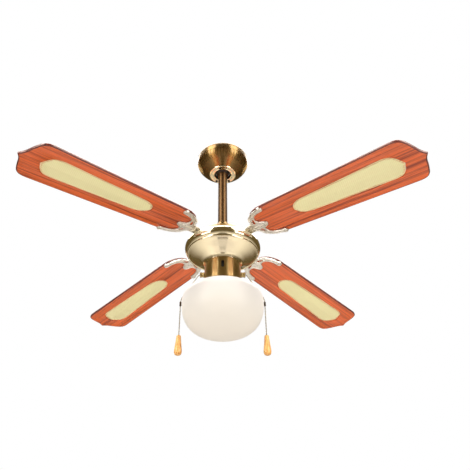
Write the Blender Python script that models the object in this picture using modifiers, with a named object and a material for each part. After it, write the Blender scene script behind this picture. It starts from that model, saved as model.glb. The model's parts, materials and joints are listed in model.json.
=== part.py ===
"""Ceiling fan with light: four cane-panelled blades, brass housing, opal globe and two pull chains.

Metres, +Z up. The origin is on the ceiling, at the middle of the hanger bracket's top face, so the
whole fan hangs below z = 0. The blades stand at 45 degrees to the X and Y axes, and the reverse
switch faces -Y.
"""

import math

import bmesh
import bpy
from mathutils import Matrix, Vector

MM = 0.001

# Driving sizes, in millimetres
GAP = 0.3                    # air left between pieces that touch
CLEARANCE = 2.2              # running air between the rotor and the fixed housing
SWEEP_R = 525.0              # blade tip radius: a 1050 mm fan
BLADE_COUNT = 4
BLADE_T = 6.0
BLADE_TIP_HALF = 62.0        # half the width at the tip shoulders
BLADE_ROOT_HALF = 54.0       # half the width where the root starts to round
BLADE_ROOT_U = 112.0         # inner end of the blade
BLADE_DROOP = 6.9            # degrees
BLADE_PITCH = 4.0            # degrees
CANE_T = 3.0
CANE_INNER_U = 224.0
CANE_BORDER = 30.0           # wood left beside the cane
IRON_T = 4.0
IRON_HALF = 49.5             # where the two horns run

CANOPY_R = 70.0
CANOPY_H = 54.7
RING_R = 36.5
RING_HOLE_R = 22.5
RING_T = 3.0
BALL_R = 23.0
SOCKET_R = 19.0              # hole in the bracket that the ball sits over
BALL_CLEARANCE = 0.8
BRACKET_T = 2.5
BRACKET_GAP = 1.4            # between the bracket's floor and the canopy under it
CANOPY_T = 1.0
ROD_R = 12.0
ROD_BORE_R = 9.5
ROD_ABOVE_BALL = 17.0        # end of the downrod over the ball's centre
DROP = 294.0                 # ceiling to the top edge of the motor bowl: the length of the downrod

BOWL_R = 92.5                # widest circle of the bowl's band
BOWL_H = 55.0
SHAFT_R = 8.0
STATOR_R = 44.0
ROTOR_R = 59.2
SWITCH_R = 43.3
SWITCH_H = 48.7
SKIRT_H = 8.2
GLOBE_R = 93.5
GLOBE_UP = 42.0
GLOBE_DOWN = 79.0
NECK_R = SWITCH_R - 6.8
GLASS_T = 3.0
CHAIN_R = 1.5
CHAIN_X = GLOBE_R + CHAIN_R + 1.4
LOWER_CHAIN_L = 71.0
SWING_GAP = 1.0              # under each coupling, so that the chain below it can swing 30 degrees
PULL_L = 45.5
PULL_R = 8.4

# Levels that follow from them
FLOOR_TOP = -CANOPY_H + CANOPY_T + BRACKET_GAP + BRACKET_T
BALL_Z = FLOOR_TOP + BALL_CLEARANCE + math.sqrt(BALL_R**2 - SOCKET_R**2)
ROD_TOP_Z = BALL_Z + ROD_ABOVE_BALL
BOWL_TOP = -DROP
BLADE_Z = BOWL_TOP + 21.0    # blade mid-plane where it meets the fan's axis
BOWL_BASE = BOWL_TOP - BOWL_H
IRON_LOW = BOWL_TOP + CLEARANCE
IRON_TOP = IRON_LOW + IRON_T
ROD_END_Z = BOWL_TOP + 43.5
SWITCH_TOP = BOWL_BASE - GAP
SWITCH_BOTTOM = SWITCH_TOP - SWITCH_H
SKIRT_TOP = SWITCH_BOTTOM - GAP
SKIRT_BOTTOM = SKIRT_TOP - SKIRT_H
GLOBE_TOP = SKIRT_BOTTOM - 0.5
GLOBE_Z = GLOBE_TOP - GLOBE_UP
CHUTE_Z = SWITCH_TOP - 25.7
COUPLING_TOP = GLOBE_Z + 3.0
COUPLING_H = 11.0
LOWER_TOP = COUPLING_TOP - COUPLING_H
PULL_TOP = LOWER_TOP - LOWER_CHAIN_L

SCREW_ANGLES = (257.0, 125.0, 55.0)
SCREW_PCR = 29.5
THUMB_ANGLES = (90.0, 205.0, 335.0)

for thing in list(bpy.data.objects):
    bpy.data.objects.remove(thing, do_unlink=True)

parts = bpy.data.collections.new("ceiling_fan_with_light")
cutters = bpy.data.collections.new("cutters")
bpy.context.scene.collection.children.link(parts)
bpy.context.scene.collection.children.link(cutters)
cutters.hide_render = True


def material(name, colour, metallic, roughness, transmission=0.0):
    made = bpy.data.materials.new(name)
    made.use_nodes = True
    shader = made.node_tree.nodes["Principled BSDF"]
    shader.inputs["Base Color"].default_value = (*colour, 1.0)
    shader.inputs["Metallic"].default_value = metallic
    shader.inputs["Roughness"].default_value = roughness
    shader.inputs["Transmission Weight"].default_value = transmission
    made.diffuse_color = (*colour, 1.0)
    return made


def colour_of(kind):
    table = {
        "brass": ((0.66, 0.50, 0.22), 1.0, 0.22),
        "bronze": ((0.35, 0.21, 0.10), 1.0, 0.3),
        "black": ((0.02, 0.02, 0.02), 0.0, 0.4),
        "zinc": ((0.62, 0.62, 0.60), 1.0, 0.4),
        "lamination": ((0.35, 0.35, 0.36), 1.0, 0.5),
        "copper": ((0.60, 0.27, 0.14), 1.0, 0.4),
        "nickel": ((0.80, 0.78, 0.74), 1.0, 0.25),
        "wood": ((0.55, 0.16, 0.05), 0.0, 0.35),
        "pale_wood": ((0.75, 0.50, 0.25), 0.0, 0.45),
        "cane": ((0.82, 0.76, 0.50), 0.0, 0.6),
        "opal": ((0.93, 0.91, 0.88), 0.0, 0.3),
        "ceramic": ((0.88, 0.86, 0.82), 0.0, 0.4),
        "plastic": ((0.75, 0.75, 0.72), 0.0, 0.5),
    }
    return table[kind]


def add(name, data, kind, group=parts):
    """A named object with a material of its own, in the parts collection."""
    made = bpy.data.objects.new(name, data)
    if kind:
        data.materials.clear()
        data.materials.append(material(name + "_finish", *colour_of(kind)))
    group.objects.link(made)
    return made


def cutter(name, data):
    made = add(name, data, None, cutters)
    made.hide_render = True
    made.display_type = "WIRE"
    return made


def mesh_of(name, points, faces=(), edges=()):
    made = bpy.data.meshes.new(name)
    made.from_pydata([Vector(p) * MM for p in points], edges, faces)
    made.update()
    return made


def screw(obj, segments):
    made = obj.modifiers.new("Turn", "SCREW")
    made.axis = "Z"
    made.angle = 2 * math.pi
    made.steps = segments
    made.render_steps = segments
    made.use_merge_vertices = True
    made.merge_threshold = 0.00001
    made.use_smooth_shade = True
    return made


def profile_mesh(name, profile, ring):
    """Edges in the XZ plane, listed down the outer side. ring closes them into a loop."""
    count = len(profile)
    edges = [(i, i + 1) for i in range(count - 1)]
    if ring:
        edges.append((count - 1, 0))
    return mesh_of(name, [(r, 0.0, z) for r, z in profile], (), edges)


def turned(name, profile, kind, segments=48, ring=True, at=(0.0, 0.0)):
    obj = add(name, profile_mesh(name, profile, ring), kind)
    obj.location = (at[0] * MM, at[1] * MM, 0.0)
    screw(obj, segments)
    return obj


def washer(name, inner_r, outer_r, high, low, kind, segments):
    """A plain ring of rectangular section."""
    section = [(inner_r, high), (outer_r, high), (outer_r, low), (inner_r, low)]
    return turned(name, section, kind, segments)


def cut(obj, tools, operation="DIFFERENCE"):
    for tool in tools:
        made = obj.modifiers.new(tool.name, "BOOLEAN")
        made.operation = operation
        made.solver = "EXACT"
        made.object = tool


def cylinder(name, radius, start, end, segments=10):
    """The mesh of a solid cylinder between two points."""
    a, b = Vector(start), Vector(end)
    bm = bmesh.new()
    bmesh.ops.create_cone(
        bm,
        cap_ends=True,
        segments=segments,
        radius1=radius * MM,
        radius2=radius * MM,
        depth=(b - a).length * MM,
    )
    turn = (b - a).to_track_quat("Z", "Y").to_matrix().to_4x4()
    place = Matrix.Translation((a + b) / 2 * MM) @ turn
    bmesh.ops.transform(bm, matrix=place, verts=bm.verts)
    made = bpy.data.meshes.new(name)
    bm.to_mesh(made)
    bm.free()
    return made


def box_mesh(name, low, high):
    """A box between two corners."""
    a, b = Vector(low) * MM, Vector(high) * MM
    bm = bmesh.new()
    bmesh.ops.create_cube(bm, size=1.0)
    place = Matrix.Translation((a + b) / 2) @ Matrix.Diagonal((*(b - a), 1.0))
    bmesh.ops.transform(bm, matrix=place, verts=bm.verts)
    made = bpy.data.meshes.new(name)
    bm.to_mesh(made)
    bm.free()
    return made


def flat_curve(name, loops, thickness):
    """Closed outlines in the XY plane, later ones cutting holes, filled and extruded both ways."""
    data = bpy.data.curves.new(name, "CURVE")
    data.dimensions = "2D"
    data.fill_mode = "BOTH"
    data.extrude = thickness / 2 * MM
    for loop in loops:
        line = data.splines.new("POLY")
        line.points.add(len(loop) - 1)
        for point, (u, v) in zip(line.points, loop):
            point.co = (u * MM, v * MM, 0.0, 1.0)
        line.use_cyclic_u = True
    return data


def extruded(name, loops, thickness):
    """The same as a welded mesh, for pieces that are cut or bent afterwards."""
    guide = bpy.data.objects.new(name + "_outline", flat_curve(name + "_outline", loops, thickness))
    cutters.objects.link(guide)
    bpy.context.view_layer.update()
    graph = bpy.context.evaluated_depsgraph_get()
    made = bpy.data.meshes.new_from_object(guide.evaluated_get(graph))
    made.name = name
    bpy.data.objects.remove(guide)
    bm = bmesh.new()
    bm.from_mesh(made)
    bmesh.ops.remove_doubles(bm, verts=bm.verts, dist=0.00001)
    bmesh.ops.recalc_face_normals(bm, faces=bm.faces)
    bm.to_mesh(made)
    bm.free()
    return made


def bevelled(obj, width, segments=2):
    made = obj.modifiers.new("Round", "BEVEL")
    made.width = width * MM
    made.segments = segments
    made.limit_method = "ANGLE"
    return made


def polar(radius, degrees):
    return radius * math.cos(math.radians(degrees)), radius * math.sin(math.radians(degrees))


def arc(cx, cz, radius, start, end, count):
    """Points on a circle in the profile plane, from one angle to another in degrees."""
    angles = [start + (end - start) * i / count for i in range(count + 1)]
    return [(cx + polar(radius, a)[0], cz + polar(radius, a)[1]) for a in angles]


# ---------------------------------------------------------------- ceiling mount

floor_low = FLOOR_TOP - BRACKET_T
canopy_low = -CANOPY_H
ring_top = canopy_low - GAP
ring_low = ring_top - RING_T

leg = 31.0                   # half the space between the bracket's two legs
strap = [
    (-leg, -1.0),
    (-leg - BRACKET_T, -1.0),
    (-leg - BRACKET_T, floor_low),
    (leg + BRACKET_T, floor_low),
    (leg + BRACKET_T, -1.0),
    (leg, -1.0),
    (leg, FLOOR_TOP),
    (-leg, FLOOR_TOP),
]
plate = box_mesh("hanger_bracket", (-52.0, -15.0, -BRACKET_T), (52.0, 15.0, 0.0))
bracket = add("hanger_bracket", plate, "black")
strap = cutter("bracket_strap", extruded("bracket_strap", [strap], 28.0))
strap.rotation_euler = (math.radians(90.0), 0.0, 0.0)
low, high = (0, 0, floor_low - 0.2), (0, 0, FLOOR_TOP - 0.2)
disc = cutter("bracket_floor", cylinder("bracket_floor", leg + 4.0, low, high, 20))
cut(bracket, [strap, disc], "UNION")
low, high = (0, 0, floor_low - 5), (0, 0, FLOOR_TOP + 5)
socket = cutter("bracket_socket", cylinder("bracket_socket", SOCKET_R, low, high, 24))
wire_hole = cutter("wire_hole", cylinder("wire_hole", 5.0, (19.0, 0, -10), (19.0, 0, 10), 12))
slots = []
for side, x in (("left", -1.0), ("right", 1.0)):
    low_x, high_x = sorted((x * 38.0, x * 47.0))
    slots.append(cutter(f"slot_{side}", box_mesh(f"slot_{side}", (low_x, -3.0, -10.0), (high_x, 3.0, 5.0))))
cut(bracket, [socket, wire_hole, *slots])


def screw_holes(name, radius, low, high):
    """One cutter for each of the three canopy screws."""
    made = []
    for index, angle in enumerate(SCREW_ANGLES):
        x, y = polar(SCREW_PCR, angle)
        data = cylinder(name, radius, (x, y, low), (x, y, high), 8)
        made.append(cutter(f"{name}_{index + 1}", data))
    return made


cut(bracket, screw_holes("bracket_hole", 1.9, floor_low - 5, FLOOR_TOP + 5))

outer = [(CANOPY_R - 2.5, -1.0), (CANOPY_R - 0.6, -3.0), (CANOPY_R, -7.0), (CANOPY_R, canopy_low + 41.7)]
outer += [(CANOPY_R - 0.8, canopy_low + 35.7), (CANOPY_R - 3.0, canopy_low + 29.7)]
outer += [(CANOPY_R - 7.5, canopy_low + 22.7), (CANOPY_R - 14.5, canopy_low + 15.2)]
outer += [(CANOPY_R - 22.5, canopy_low + 8.7), (CANOPY_R - 30.0, canopy_low + 2.6)]
outer += [(RING_R - 0.5, canopy_low)]
inner = [(r - CANOPY_T * 0.9, z + CANOPY_T * 0.6) for r, z in reversed(outer[3:-1:2])]
canopy_profile = outer + [(24.0, canopy_low), (24.0, canopy_low + CANOPY_T)]
canopy_profile += [(RING_R - 1.2, canopy_low + CANOPY_T)] + inner + [(CANOPY_R - 3.5, -1.0)]
canopy = turned("canopy", canopy_profile, "bronze", 28)
cut(canopy, screw_holes("canopy_hole", 1.9, canopy_low - 5, canopy_low + 4))

ring_profile = [(RING_HOLE_R, ring_top), (RING_R, ring_top), (RING_R, ring_top - 1.4)]
ring_profile += [(RING_R - 0.8, ring_low + 0.6), (RING_R - 2.4, ring_low)]
ring_profile += [(RING_HOLE_R + 1.2, ring_low), (RING_HOLE_R, ring_low + 1.0)]
ring = turned("canopy_ring", ring_profile, "brass", 28)
cut(ring, screw_holes("ring_hole", 1.9, ring_low - 5, ring_top + 5))

for index, angle in enumerate(SCREW_ANGLES):
    x, y = polar(SCREW_PCR, angle)
    low = ring_low - GAP
    head = [(0.0, FLOOR_TOP + 1.5), (1.6, FLOOR_TOP + 1.5), (1.6, low), (3.4, low)]
    head += [(3.2, low - 0.9), (2.2, low - 1.7), (0.0, low - 2.0)]
    turned(f"canopy_screw_{index + 1}", head, "zinc", 8, ring=False, at=(x, y))

block = box_mesh("terminal_block", (-17.0, 36.0, -20.0), (17.0, 50.0, -8.0))
bevelled(add("terminal_block", block, "plastic"), 1.0)

# ---------------------------------------------------------------- hanger ball and downrod

half = math.sqrt(BALL_R**2 - 13.0**2)
bore = ROD_R + GAP
low_angle = math.degrees(math.acos(bore / BALL_R))
ball_profile = [(bore, BALL_Z + 13.0)]
ball_profile += arc(0.0, BALL_Z, BALL_R, math.degrees(math.atan2(13.0, half)), -low_angle, 6)
turned("hanger_ball", ball_profile, "black", 24)

rod = washer("downrod", ROD_BORE_R, ROD_R, ROD_TOP_Z, ROD_END_Z, "bronze", 16)
pin_z = ROD_END_Z + 12.0
cut(rod, [cutter("rod_pin_hole", cylinder("rod_pin_hole", 2.8, (0, -30, pin_z), (0, 30, pin_z)))])

yoke_top = ROD_END_Z + 24.0
yoke_floor = ROD_END_Z - GAP
yoke = [(bore, yoke_top), (15.0, yoke_top), (16.5, yoke_top - 1.5), (16.5, yoke_floor)]
yoke += [(24.0, yoke_floor), (24.0, yoke_floor - 3.5), (15.0, yoke_floor - 5.0)]
yoke += [(SHAFT_R + GAP, yoke_floor - 5.0), (SHAFT_R + GAP, yoke_floor), (bore, yoke_floor)]
yoke = turned("motor_yoke", yoke, "bronze", 16)
cut(yoke, [cutter("yoke_pin_hole", cylinder("yoke_pin_hole", 2.8, (0, -30, pin_z), (0, 30, pin_z)))])
add("downrod_pin", cylinder("downrod_pin", 2.5, (0, -19.0, pin_z), (0, 19.0, pin_z)), "zinc")

# ---------------------------------------------------------------- motor

shaft_low = BOWL_BASE - 12.5
washer("motor_shaft", 5.0, SHAFT_R, yoke_floor - 0.5, shaft_low, "zinc", 16)

hub = 13.0
bearing_in = SHAFT_R + GAP
shell_top = yoke_floor - 12.0
shell_bottom = BOWL_TOP - 28.5

washer("upper_bearing", bearing_in, hub, shell_top, shell_top - 7.0, "zinc", 16)
washer("lower_bearing", bearing_in, hub, shell_bottom + 7.0, shell_bottom, "zinc", 16)

stator_top = BOWL_TOP + 8.5
stator_low = BOWL_TOP - 7.5
washer("stator_core", bearing_in, STATOR_R, stator_top, stator_low, "lamination", 24)


def winding(name, low, high):
    mid = (low + high) / 2
    rise = (high - low) / 2
    section = [(31.0 + polar(9.5, a)[0], mid + polar(rise, a)[1]) for a in range(180, -180, -60)]
    turned(name, section, "copper", 20)


winding("winding_top", stator_top + GAP, stator_top + 6.0)
winding("winding_bottom", stator_low - 6.0, stator_low - GAP)

ring_in = STATOR_R + 0.8
washer("rotor_ring", ring_in, ROTOR_R, BOWL_TOP + 9.5, BOWL_TOP - 12.0, "lamination", 24)

hub_in = hub + GAP
flange_r = ROTOR_R + 19.0
flange_top = IRON_LOW - GAP
case_in = ROTOR_R + GAP
upper = [(hub_in, shell_top + 0.5), (hub_in + 4, shell_top + 0.5), (hub_in + 5, shell_top - 5.5)]
upper += [(ROTOR_R - 6, shell_top - 11.0), (case_in + 2.5, shell_top - 16.0), (case_in + 2.5, flange_top)]
upper += [(flange_r, flange_top), (flange_r, flange_top - 2.2), (case_in, flange_top - 2.2)]
upper += [(case_in, shell_top - 16.6), (ROTOR_R - 7.5, shell_top - 13.3), (hub_in, shell_top - 8.0)]
turned("rotor_upper_shell", upper, "zinc", 24)

lower_top = flange_top - 2.2 - GAP
lower = [(case_in, lower_top), (flange_r, lower_top), (flange_r, lower_top - 2.2)]
lower += [(case_in + 2.5, lower_top - 3.0), (case_in + 2.5, BOWL_TOP - 14.5)]
lower += [(ROTOR_R - 6, BOWL_TOP - 20.0), (hub_in + 5, shell_bottom + 3.0), (hub_in + 4, shell_bottom - 0.5)]
lower += [(hub_in, shell_bottom - 0.5), (hub_in, shell_bottom + 8.0)]
lower += [(ROTOR_R - 7.5, BOWL_TOP - 17.6), (case_in, BOWL_TOP - 13.6)]
turned("rotor_lower_shell", lower, "zinc", 24)

cover_r = 76.0
cover_low = IRON_TOP + CLEARANCE
cover_top = yoke_floor + 1.2 + GAP
cover = [(16.5 + GAP + 0.6, cover_top), (24.0, cover_top), (34.0, cover_top - 2.6), (47.0, cover_top - 8.4)]
cover += [(58.0, cover_top - 15.6), (67.0, cover_top - 23.5), (73.5, cover_low + 5.5)]
cover += [(cover_r, cover_low + 2.0), (cover_r, cover_low), (cover_r - 1.2, cover_low)]
cover += [(cover_r - 1.4, cover_low + 2.4), (72.2, cover_low + 6.4), (66.0, cover_top - 24.5)]
cover += [(57.2, cover_top - 16.6), (46.4, cover_top - 9.5), (33.6, cover_top - 3.7)]
cover += [(24.0, cover_top - 1.2), (16.5 + GAP + 0.6, cover_top - 1.2)]
turned("motor_top_cover", cover, "bronze", 28)

bowl = [(BOWL_R - 4.0, BOWL_TOP), (BOWL_R - 2.2, BOWL_TOP - 1.2), (BOWL_R - 0.6, BOWL_TOP - 4.4)]
bowl += [(BOWL_R, BOWL_TOP - 8.5), (BOWL_R - 0.4, BOWL_TOP - 13.0), (BOWL_R - 2.0, BOWL_TOP - 17.6)]
bowl += [(BOWL_R - 4.6, BOWL_TOP - 21.2), (BOWL_R - 6.0, BOWL_TOP - 22.0), (BOWL_R - 6.0, BOWL_TOP - 24.2)]
bowl += [(BOWL_R - 6.6, BOWL_TOP - 25.7), (BOWL_R - 8.2, BOWL_TOP - 26.2), (BOWL_R - 9.4, BOWL_TOP - 25.6)]
bowl += [(BOWL_R - 16.0, BOWL_TOP - 29.6), (BOWL_R - 24.0, BOWL_TOP - 35.2), (BOWL_R - 32.0, BOWL_TOP - 41.2)]
bowl += [(BOWL_R - 40.0, BOWL_TOP - 47.4), (SWITCH_R + 3.0, BOWL_BASE + 3.2)]
bowl += [(SWITCH_R + 1.0, BOWL_BASE + 0.8)]
bowl += [(SWITCH_R, BOWL_BASE), (bearing_in, BOWL_BASE), (bearing_in, BOWL_BASE + 1.5)]
bowl += [(SWITCH_R - 0.6, BOWL_BASE + 1.5), (SWITCH_R + 1.8, BOWL_BASE + 4.6)]
bowl += [(BOWL_R - 28.8, BOWL_TOP - 36.8), (BOWL_R - 9.6, BOWL_TOP - 24.0), (BOWL_R - 7.6, BOWL_TOP - 21.0)]
bowl += [(BOWL_R - 3.4, BOWL_TOP - 17.0), (BOWL_R - 1.4, BOWL_TOP - 8.5), (BOWL_R - 4.8, BOWL_TOP - 1.2)]
turned("motor_bowl", bowl, "brass", 32)


def nut(name, low, high):
    obj = add(name, cylinder(name, 14.0, (0, 0, low), (0, 0, high), 6), "zinc")
    hole = cylinder(name + "_bore", bearing_in, (0, 0, low - 5), (0, 0, high + 5), 16)
    cut(obj, [cutter(name + "_bore", hole)])


nut("shaft_nut_upper", BOWL_BASE + 1.5 + GAP, BOWL_BASE + 7.0)
plate_r = SWITCH_R - 2.0
plate_top = BOWL_BASE - GAP
washer("switch_plate", bearing_in, plate_r, plate_top, plate_top - 2.0, "zinc", 24)
nut("shaft_nut_lower", plate_top - 8.5, plate_top - 2 - GAP)

# ---------------------------------------------------------------- switch housing

wall = 1.2
housing = [(SWITCH_R - wall, SWITCH_TOP), (SWITCH_R, SWITCH_TOP), (SWITCH_R, SWITCH_BOTTOM)]
housing += [(30.0, SWITCH_BOTTOM), (30.0, SWITCH_BOTTOM + wall), (SWITCH_R - wall, SWITCH_BOTTOM + wall)]
housing = turned("switch_housing", housing, "brass", 28)
slot_z = SWITCH_TOP - 19.7
slot_w, slot_h = 3.4, 9.4
slot = cutter(
    "reverse_slot",
    box_mesh("reverse_slot", (-slot_w, -60.0, slot_z - slot_h), (slot_w, -30.0, slot_z + slot_h)),
)
cut(housing, [slot])
for side, x in (("left", -1.0), ("right", 1.0)):
    hole = cylinder(f"chute_hole_{side}", 4.3, (x * 30.0, 0, CHUTE_Z), (x * 60.0, 0, CHUTE_Z), 12)
    cut(housing, [cutter(f"chute_hole_{side}", hole)])

face_y = -(SWITCH_R - wall - 1.0)
body = box_mesh("reverse_switch", (-8.0, face_y, slot_z - 11.5), (8.0, face_y + 13.0, slot_z + 11.5))
body = add("reverse_switch", body, "black")
track = cutter(
    "slider_track",
    box_mesh("slider_track", (-2.3, face_y - 3.0, slot_z - 7.6), (2.3, face_y + 4.0, slot_z + 7.6)),
)
cut(body, [track])
slider_low = slot_z - 7.3
slider = box_mesh("reverse_slider", (-2.0, face_y - 3.0, slider_low), (2.0, face_y + 3.6, slider_low + 8.0))
slider = add("reverse_slider", slider, "black")
bevelled(slider, 0.4)

body_x = SWITCH_R - 5.8
for name, x in (("speed_switch", -1.0), ("light_switch", 1.0)):
    low, high = sorted((x * 16.0, x * body_x))
    data = box_mesh(name, (low, -11.0, CHUTE_Z - 12.0), (high, 11.0, CHUTE_Z + 12.0))
    bevelled(add(name, data, "black"), 1.5)
cap_back = SWITCH_R - 10.3
cap = box_mesh("capacitor", (-13.0, cap_back - 17.0, CHUTE_Z - 15.0), (13.0, cap_back, CHUTE_Z + 15.0))
bevelled(add("capacitor", cap, "black"), 1.2)

# ---------------------------------------------------------------- light kit

skirt_r = SWITCH_R + 0.6
wall = 1.2
fitter = [(12.0, SKIRT_TOP), (skirt_r - 0.8, SKIRT_TOP), (skirt_r, SKIRT_TOP - 0.8), (skirt_r, SKIRT_BOTTOM)]
fitter += [(skirt_r - wall, SKIRT_BOTTOM), (skirt_r - wall, SKIRT_TOP - wall), (12.0, SKIRT_TOP - wall)]
fitter = turned("fitter", fitter, "brass", 28)
thumb_z = SKIRT_TOP - 4.6
for index, angle in enumerate(THUMB_ANGLES):
    start = (*polar(skirt_r - 10.0, angle), thumb_z)
    end = (*polar(skirt_r + 10.0, angle), thumb_z)
    cut(fitter, [cutter(f"thumb_hole_{index + 1}", cylinder(f"thumb_hole_{index + 1}", 1.9, start, end, 8))])
    tip = NECK_R + 1.2 + GAP
    head = skirt_r + GAP
    profile = [(0.0, head + 6.5), (1.8, head + 6.5), (3.4, head + 6.0), (3.4, head + 1.0)]
    profile += [(2.4, head), (1.6, head), (1.6, tip), (0.0, tip)]
    thumb = turned(f"thumb_screw_{index + 1}", profile, "brass", 8, ring=False)
    thumb.rotation_euler = (0.0, math.radians(90.0), math.radians(angle))
    thumb.location = (0.0, 0.0, thumb_z * MM)


def bulge(r, radius, rise, power):
    """Height of a superellipse of this radius and rise above its widest circle."""
    return rise * (1.0 - (min(r, radius) / radius) ** power) ** (1.0 / power)


UP_POWER, DOWN_POWER = 2.4, 2.65
neck_top = SKIRT_TOP - 2.4
globe = [(NECK_R, neck_top), (NECK_R + 1.2, neck_top - 0.6), (NECK_R + 1.2, neck_top - 2.4)]
globe += [(NECK_R + 0.2, neck_top - 3.4), (NECK_R + 0.2, GLOBE_TOP + 0.8)]
share = (0.43, 0.6, 0.75, 0.87, 0.95, 0.988)
globe += [(GLOBE_R * s, GLOBE_Z + bulge(GLOBE_R * s, GLOBE_R, GLOBE_UP, UP_POWER)) for s in share]
globe += [(GLOBE_R, GLOBE_Z)]
share = (0.985, 0.93, 0.83, 0.68, 0.48, 0.25, 0.0)
globe += [(GLOBE_R * s, GLOBE_Z - bulge(GLOBE_R * s, GLOBE_R, GLOBE_DOWN, DOWN_POWER)) for s in share]
inner_r = GLOBE_R - GLASS_T
inner_down = GLOBE_DOWN - GLASS_T
inner_up = GLOBE_UP - GLASS_T
share = (0.0, 0.3, 0.55, 0.76, 0.91, 0.98)
globe += [(inner_r * s, GLOBE_Z - bulge(inner_r * s, inner_r, inner_down, DOWN_POWER)) for s in share]
globe += [(inner_r, GLOBE_Z)]
share = (0.97, 0.88, 0.72, 0.42)
globe += [(inner_r * s, GLOBE_Z + bulge(inner_r * s, inner_r, inner_up, UP_POWER)) for s in share]
globe += [(NECK_R - 2.6, GLOBE_TOP - 1.6), (NECK_R - 2.6, neck_top)]
turned("globe", globe, "opal", 28)

holder_top = SKIRT_TOP - wall - GAP
holder = [(6.0, holder_top), (17.0, holder_top), (17.0, holder_top - 3), (15.0, holder_top - 5)]
holder += [(15.0, holder_top - 34), (13.9, holder_top - 34), (13.9, holder_top - 8), (6.0, holder_top - 8)]
turned("lampholder", holder, "ceramic", 16)

bulb_top = holder_top - 8 - GAP
bulb = [(0.0, bulb_top), (6.0, bulb_top), (7.5, bulb_top - 2), (13.0, bulb_top - 4), (13.0, bulb_top - 27)]
bulb += [(14.5, bulb_top - 33), (19.5, bulb_top - 42), (24.5, bulb_top - 52), (26.0, bulb_top - 60)]
bulb += [(24.5, bulb_top - 69), (19.5, bulb_top - 77), (11.5, bulb_top - 82), (0.0, bulb_top - 84)]
turned("bulb", bulb, "opal", 14, ring=False)

# ---------------------------------------------------------------- pull chains


def chain_tube(name, points):
    data = bpy.data.curves.new(name, "CURVE")
    data.dimensions = "3D"
    data.bevel_depth = CHAIN_R * MM
    data.bevel_resolution = 1
    data.use_fill_caps = True
    line = data.splines.new("POLY")
    line.points.add(len(points) - 1)
    for point, place in zip(line.points, points):
        point.co = (*(Vector(place) * MM), 1.0)
    return add(name, data, "nickel")


def smooth_path(knots, steps):
    """A curve through the knots (Catmull-Rom), as a list of points."""
    ends = [knots[0] * 2 - knots[1]] + knots + [knots[-1] * 2 - knots[-2]]
    made = []
    for a, b, c, d in zip(ends, ends[1:], ends[2:], ends[3:]):
        for i in range(steps):
            t = i / steps
            bend = (2 * a - 5 * b + 4 * c - d) * t * t + (3 * b - a - 3 * c + d) * t**3
            made.append(0.5 * (2 * b + (c - a) * t + bend))
    return made + [knots[-1]]


mouth_x = SWITCH_R + 11.0
for side, x in (("left", -1.0), ("right", 1.0)):
    wall_x = SWITCH_R + GAP
    chute = [(2.1, mouth_x - 1.4), (2.6, mouth_x), (4.2, mouth_x), (6.6, mouth_x - 1.0), (6.6, mouth_x - 3.0)]
    chute += [(4.6, mouth_x - 6.0), (4.4, wall_x + 3.4), (5.6, wall_x + 2.0), (5.6, wall_x), (3.9, wall_x)]
    chute += [(3.9, body_x + GAP), (2.1, body_x + GAP)]
    chute = turned(f"chain_chute_{side}", chute, "brass", 12)
    chute.rotation_euler = (0.0, math.radians(90.0 * x), 0.0)
    chute.location = (0.0, 0.0, CHUTE_Z * MM)

    knots = [(mouth_x - 6.0, CHUTE_Z), (mouth_x, CHUTE_Z - 0.2), (mouth_x + 4.2, CHUTE_Z - 3.6)]
    knots += [(mouth_x + 8.0, CHUTE_Z - 9.6), (GLOBE_R - 24.2, CHUTE_Z - 21.6)]
    knots += [(GLOBE_R - 14.2, GLOBE_Z + 35.5), (GLOBE_R - 5.7, GLOBE_Z + 22.0)]
    knots += [(CHAIN_X - 2.6, GLOBE_Z + 13.0), (CHAIN_X, COUPLING_TOP + GAP)]
    knots = [Vector((x * a, 0.0, z)) for a, z in knots]
    chain_tube(f"upper_chain_{side}", smooth_path(knots, 2))

    h = COUPLING_TOP
    coupling = [(0.0, h), (1.6, h), (2.4, h - 1.0), (2.4, h - 4.6), (1.7, h - 5.5), (2.4, h - 6.4)]
    coupling += [(2.4, h - COUPLING_H + 1.0), (1.6, h - COUPLING_H), (0.0, h - COUPLING_H)]
    turned(f"chain_coupling_{side}", coupling, "zinc", 8, ring=False, at=(x * CHAIN_X, 0.0))

    start = Vector((x * CHAIN_X, 0.0, LOWER_TOP - SWING_GAP))
    end = Vector((x * CHAIN_X, 0.0, PULL_TOP + GAP))
    chain_tube(f"lower_chain_{side}", [start, (start + end) / 2, end])

    h = PULL_TOP
    pull = [(0.0, h), (3.0, h), (4.4, h - 0.8), (4.9, h - 2.4), (5.6, h - 10.0), (6.9, h - 22.0)]
    pull += [(8.0, h - 31.0), (PULL_R, h - 36.0), (8.0, h - 40.5), (6.2, h - 43.8), (3.4, h - PULL_L + 0.4)]
    pull += [(0.0, h - PULL_L)]
    turned(f"chain_pull_{side}", pull, "pale_wood", 12, ring=False, at=(x * CHAIN_X, 0.0))

# ---------------------------------------------------------------- blades, irons and cane

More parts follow.
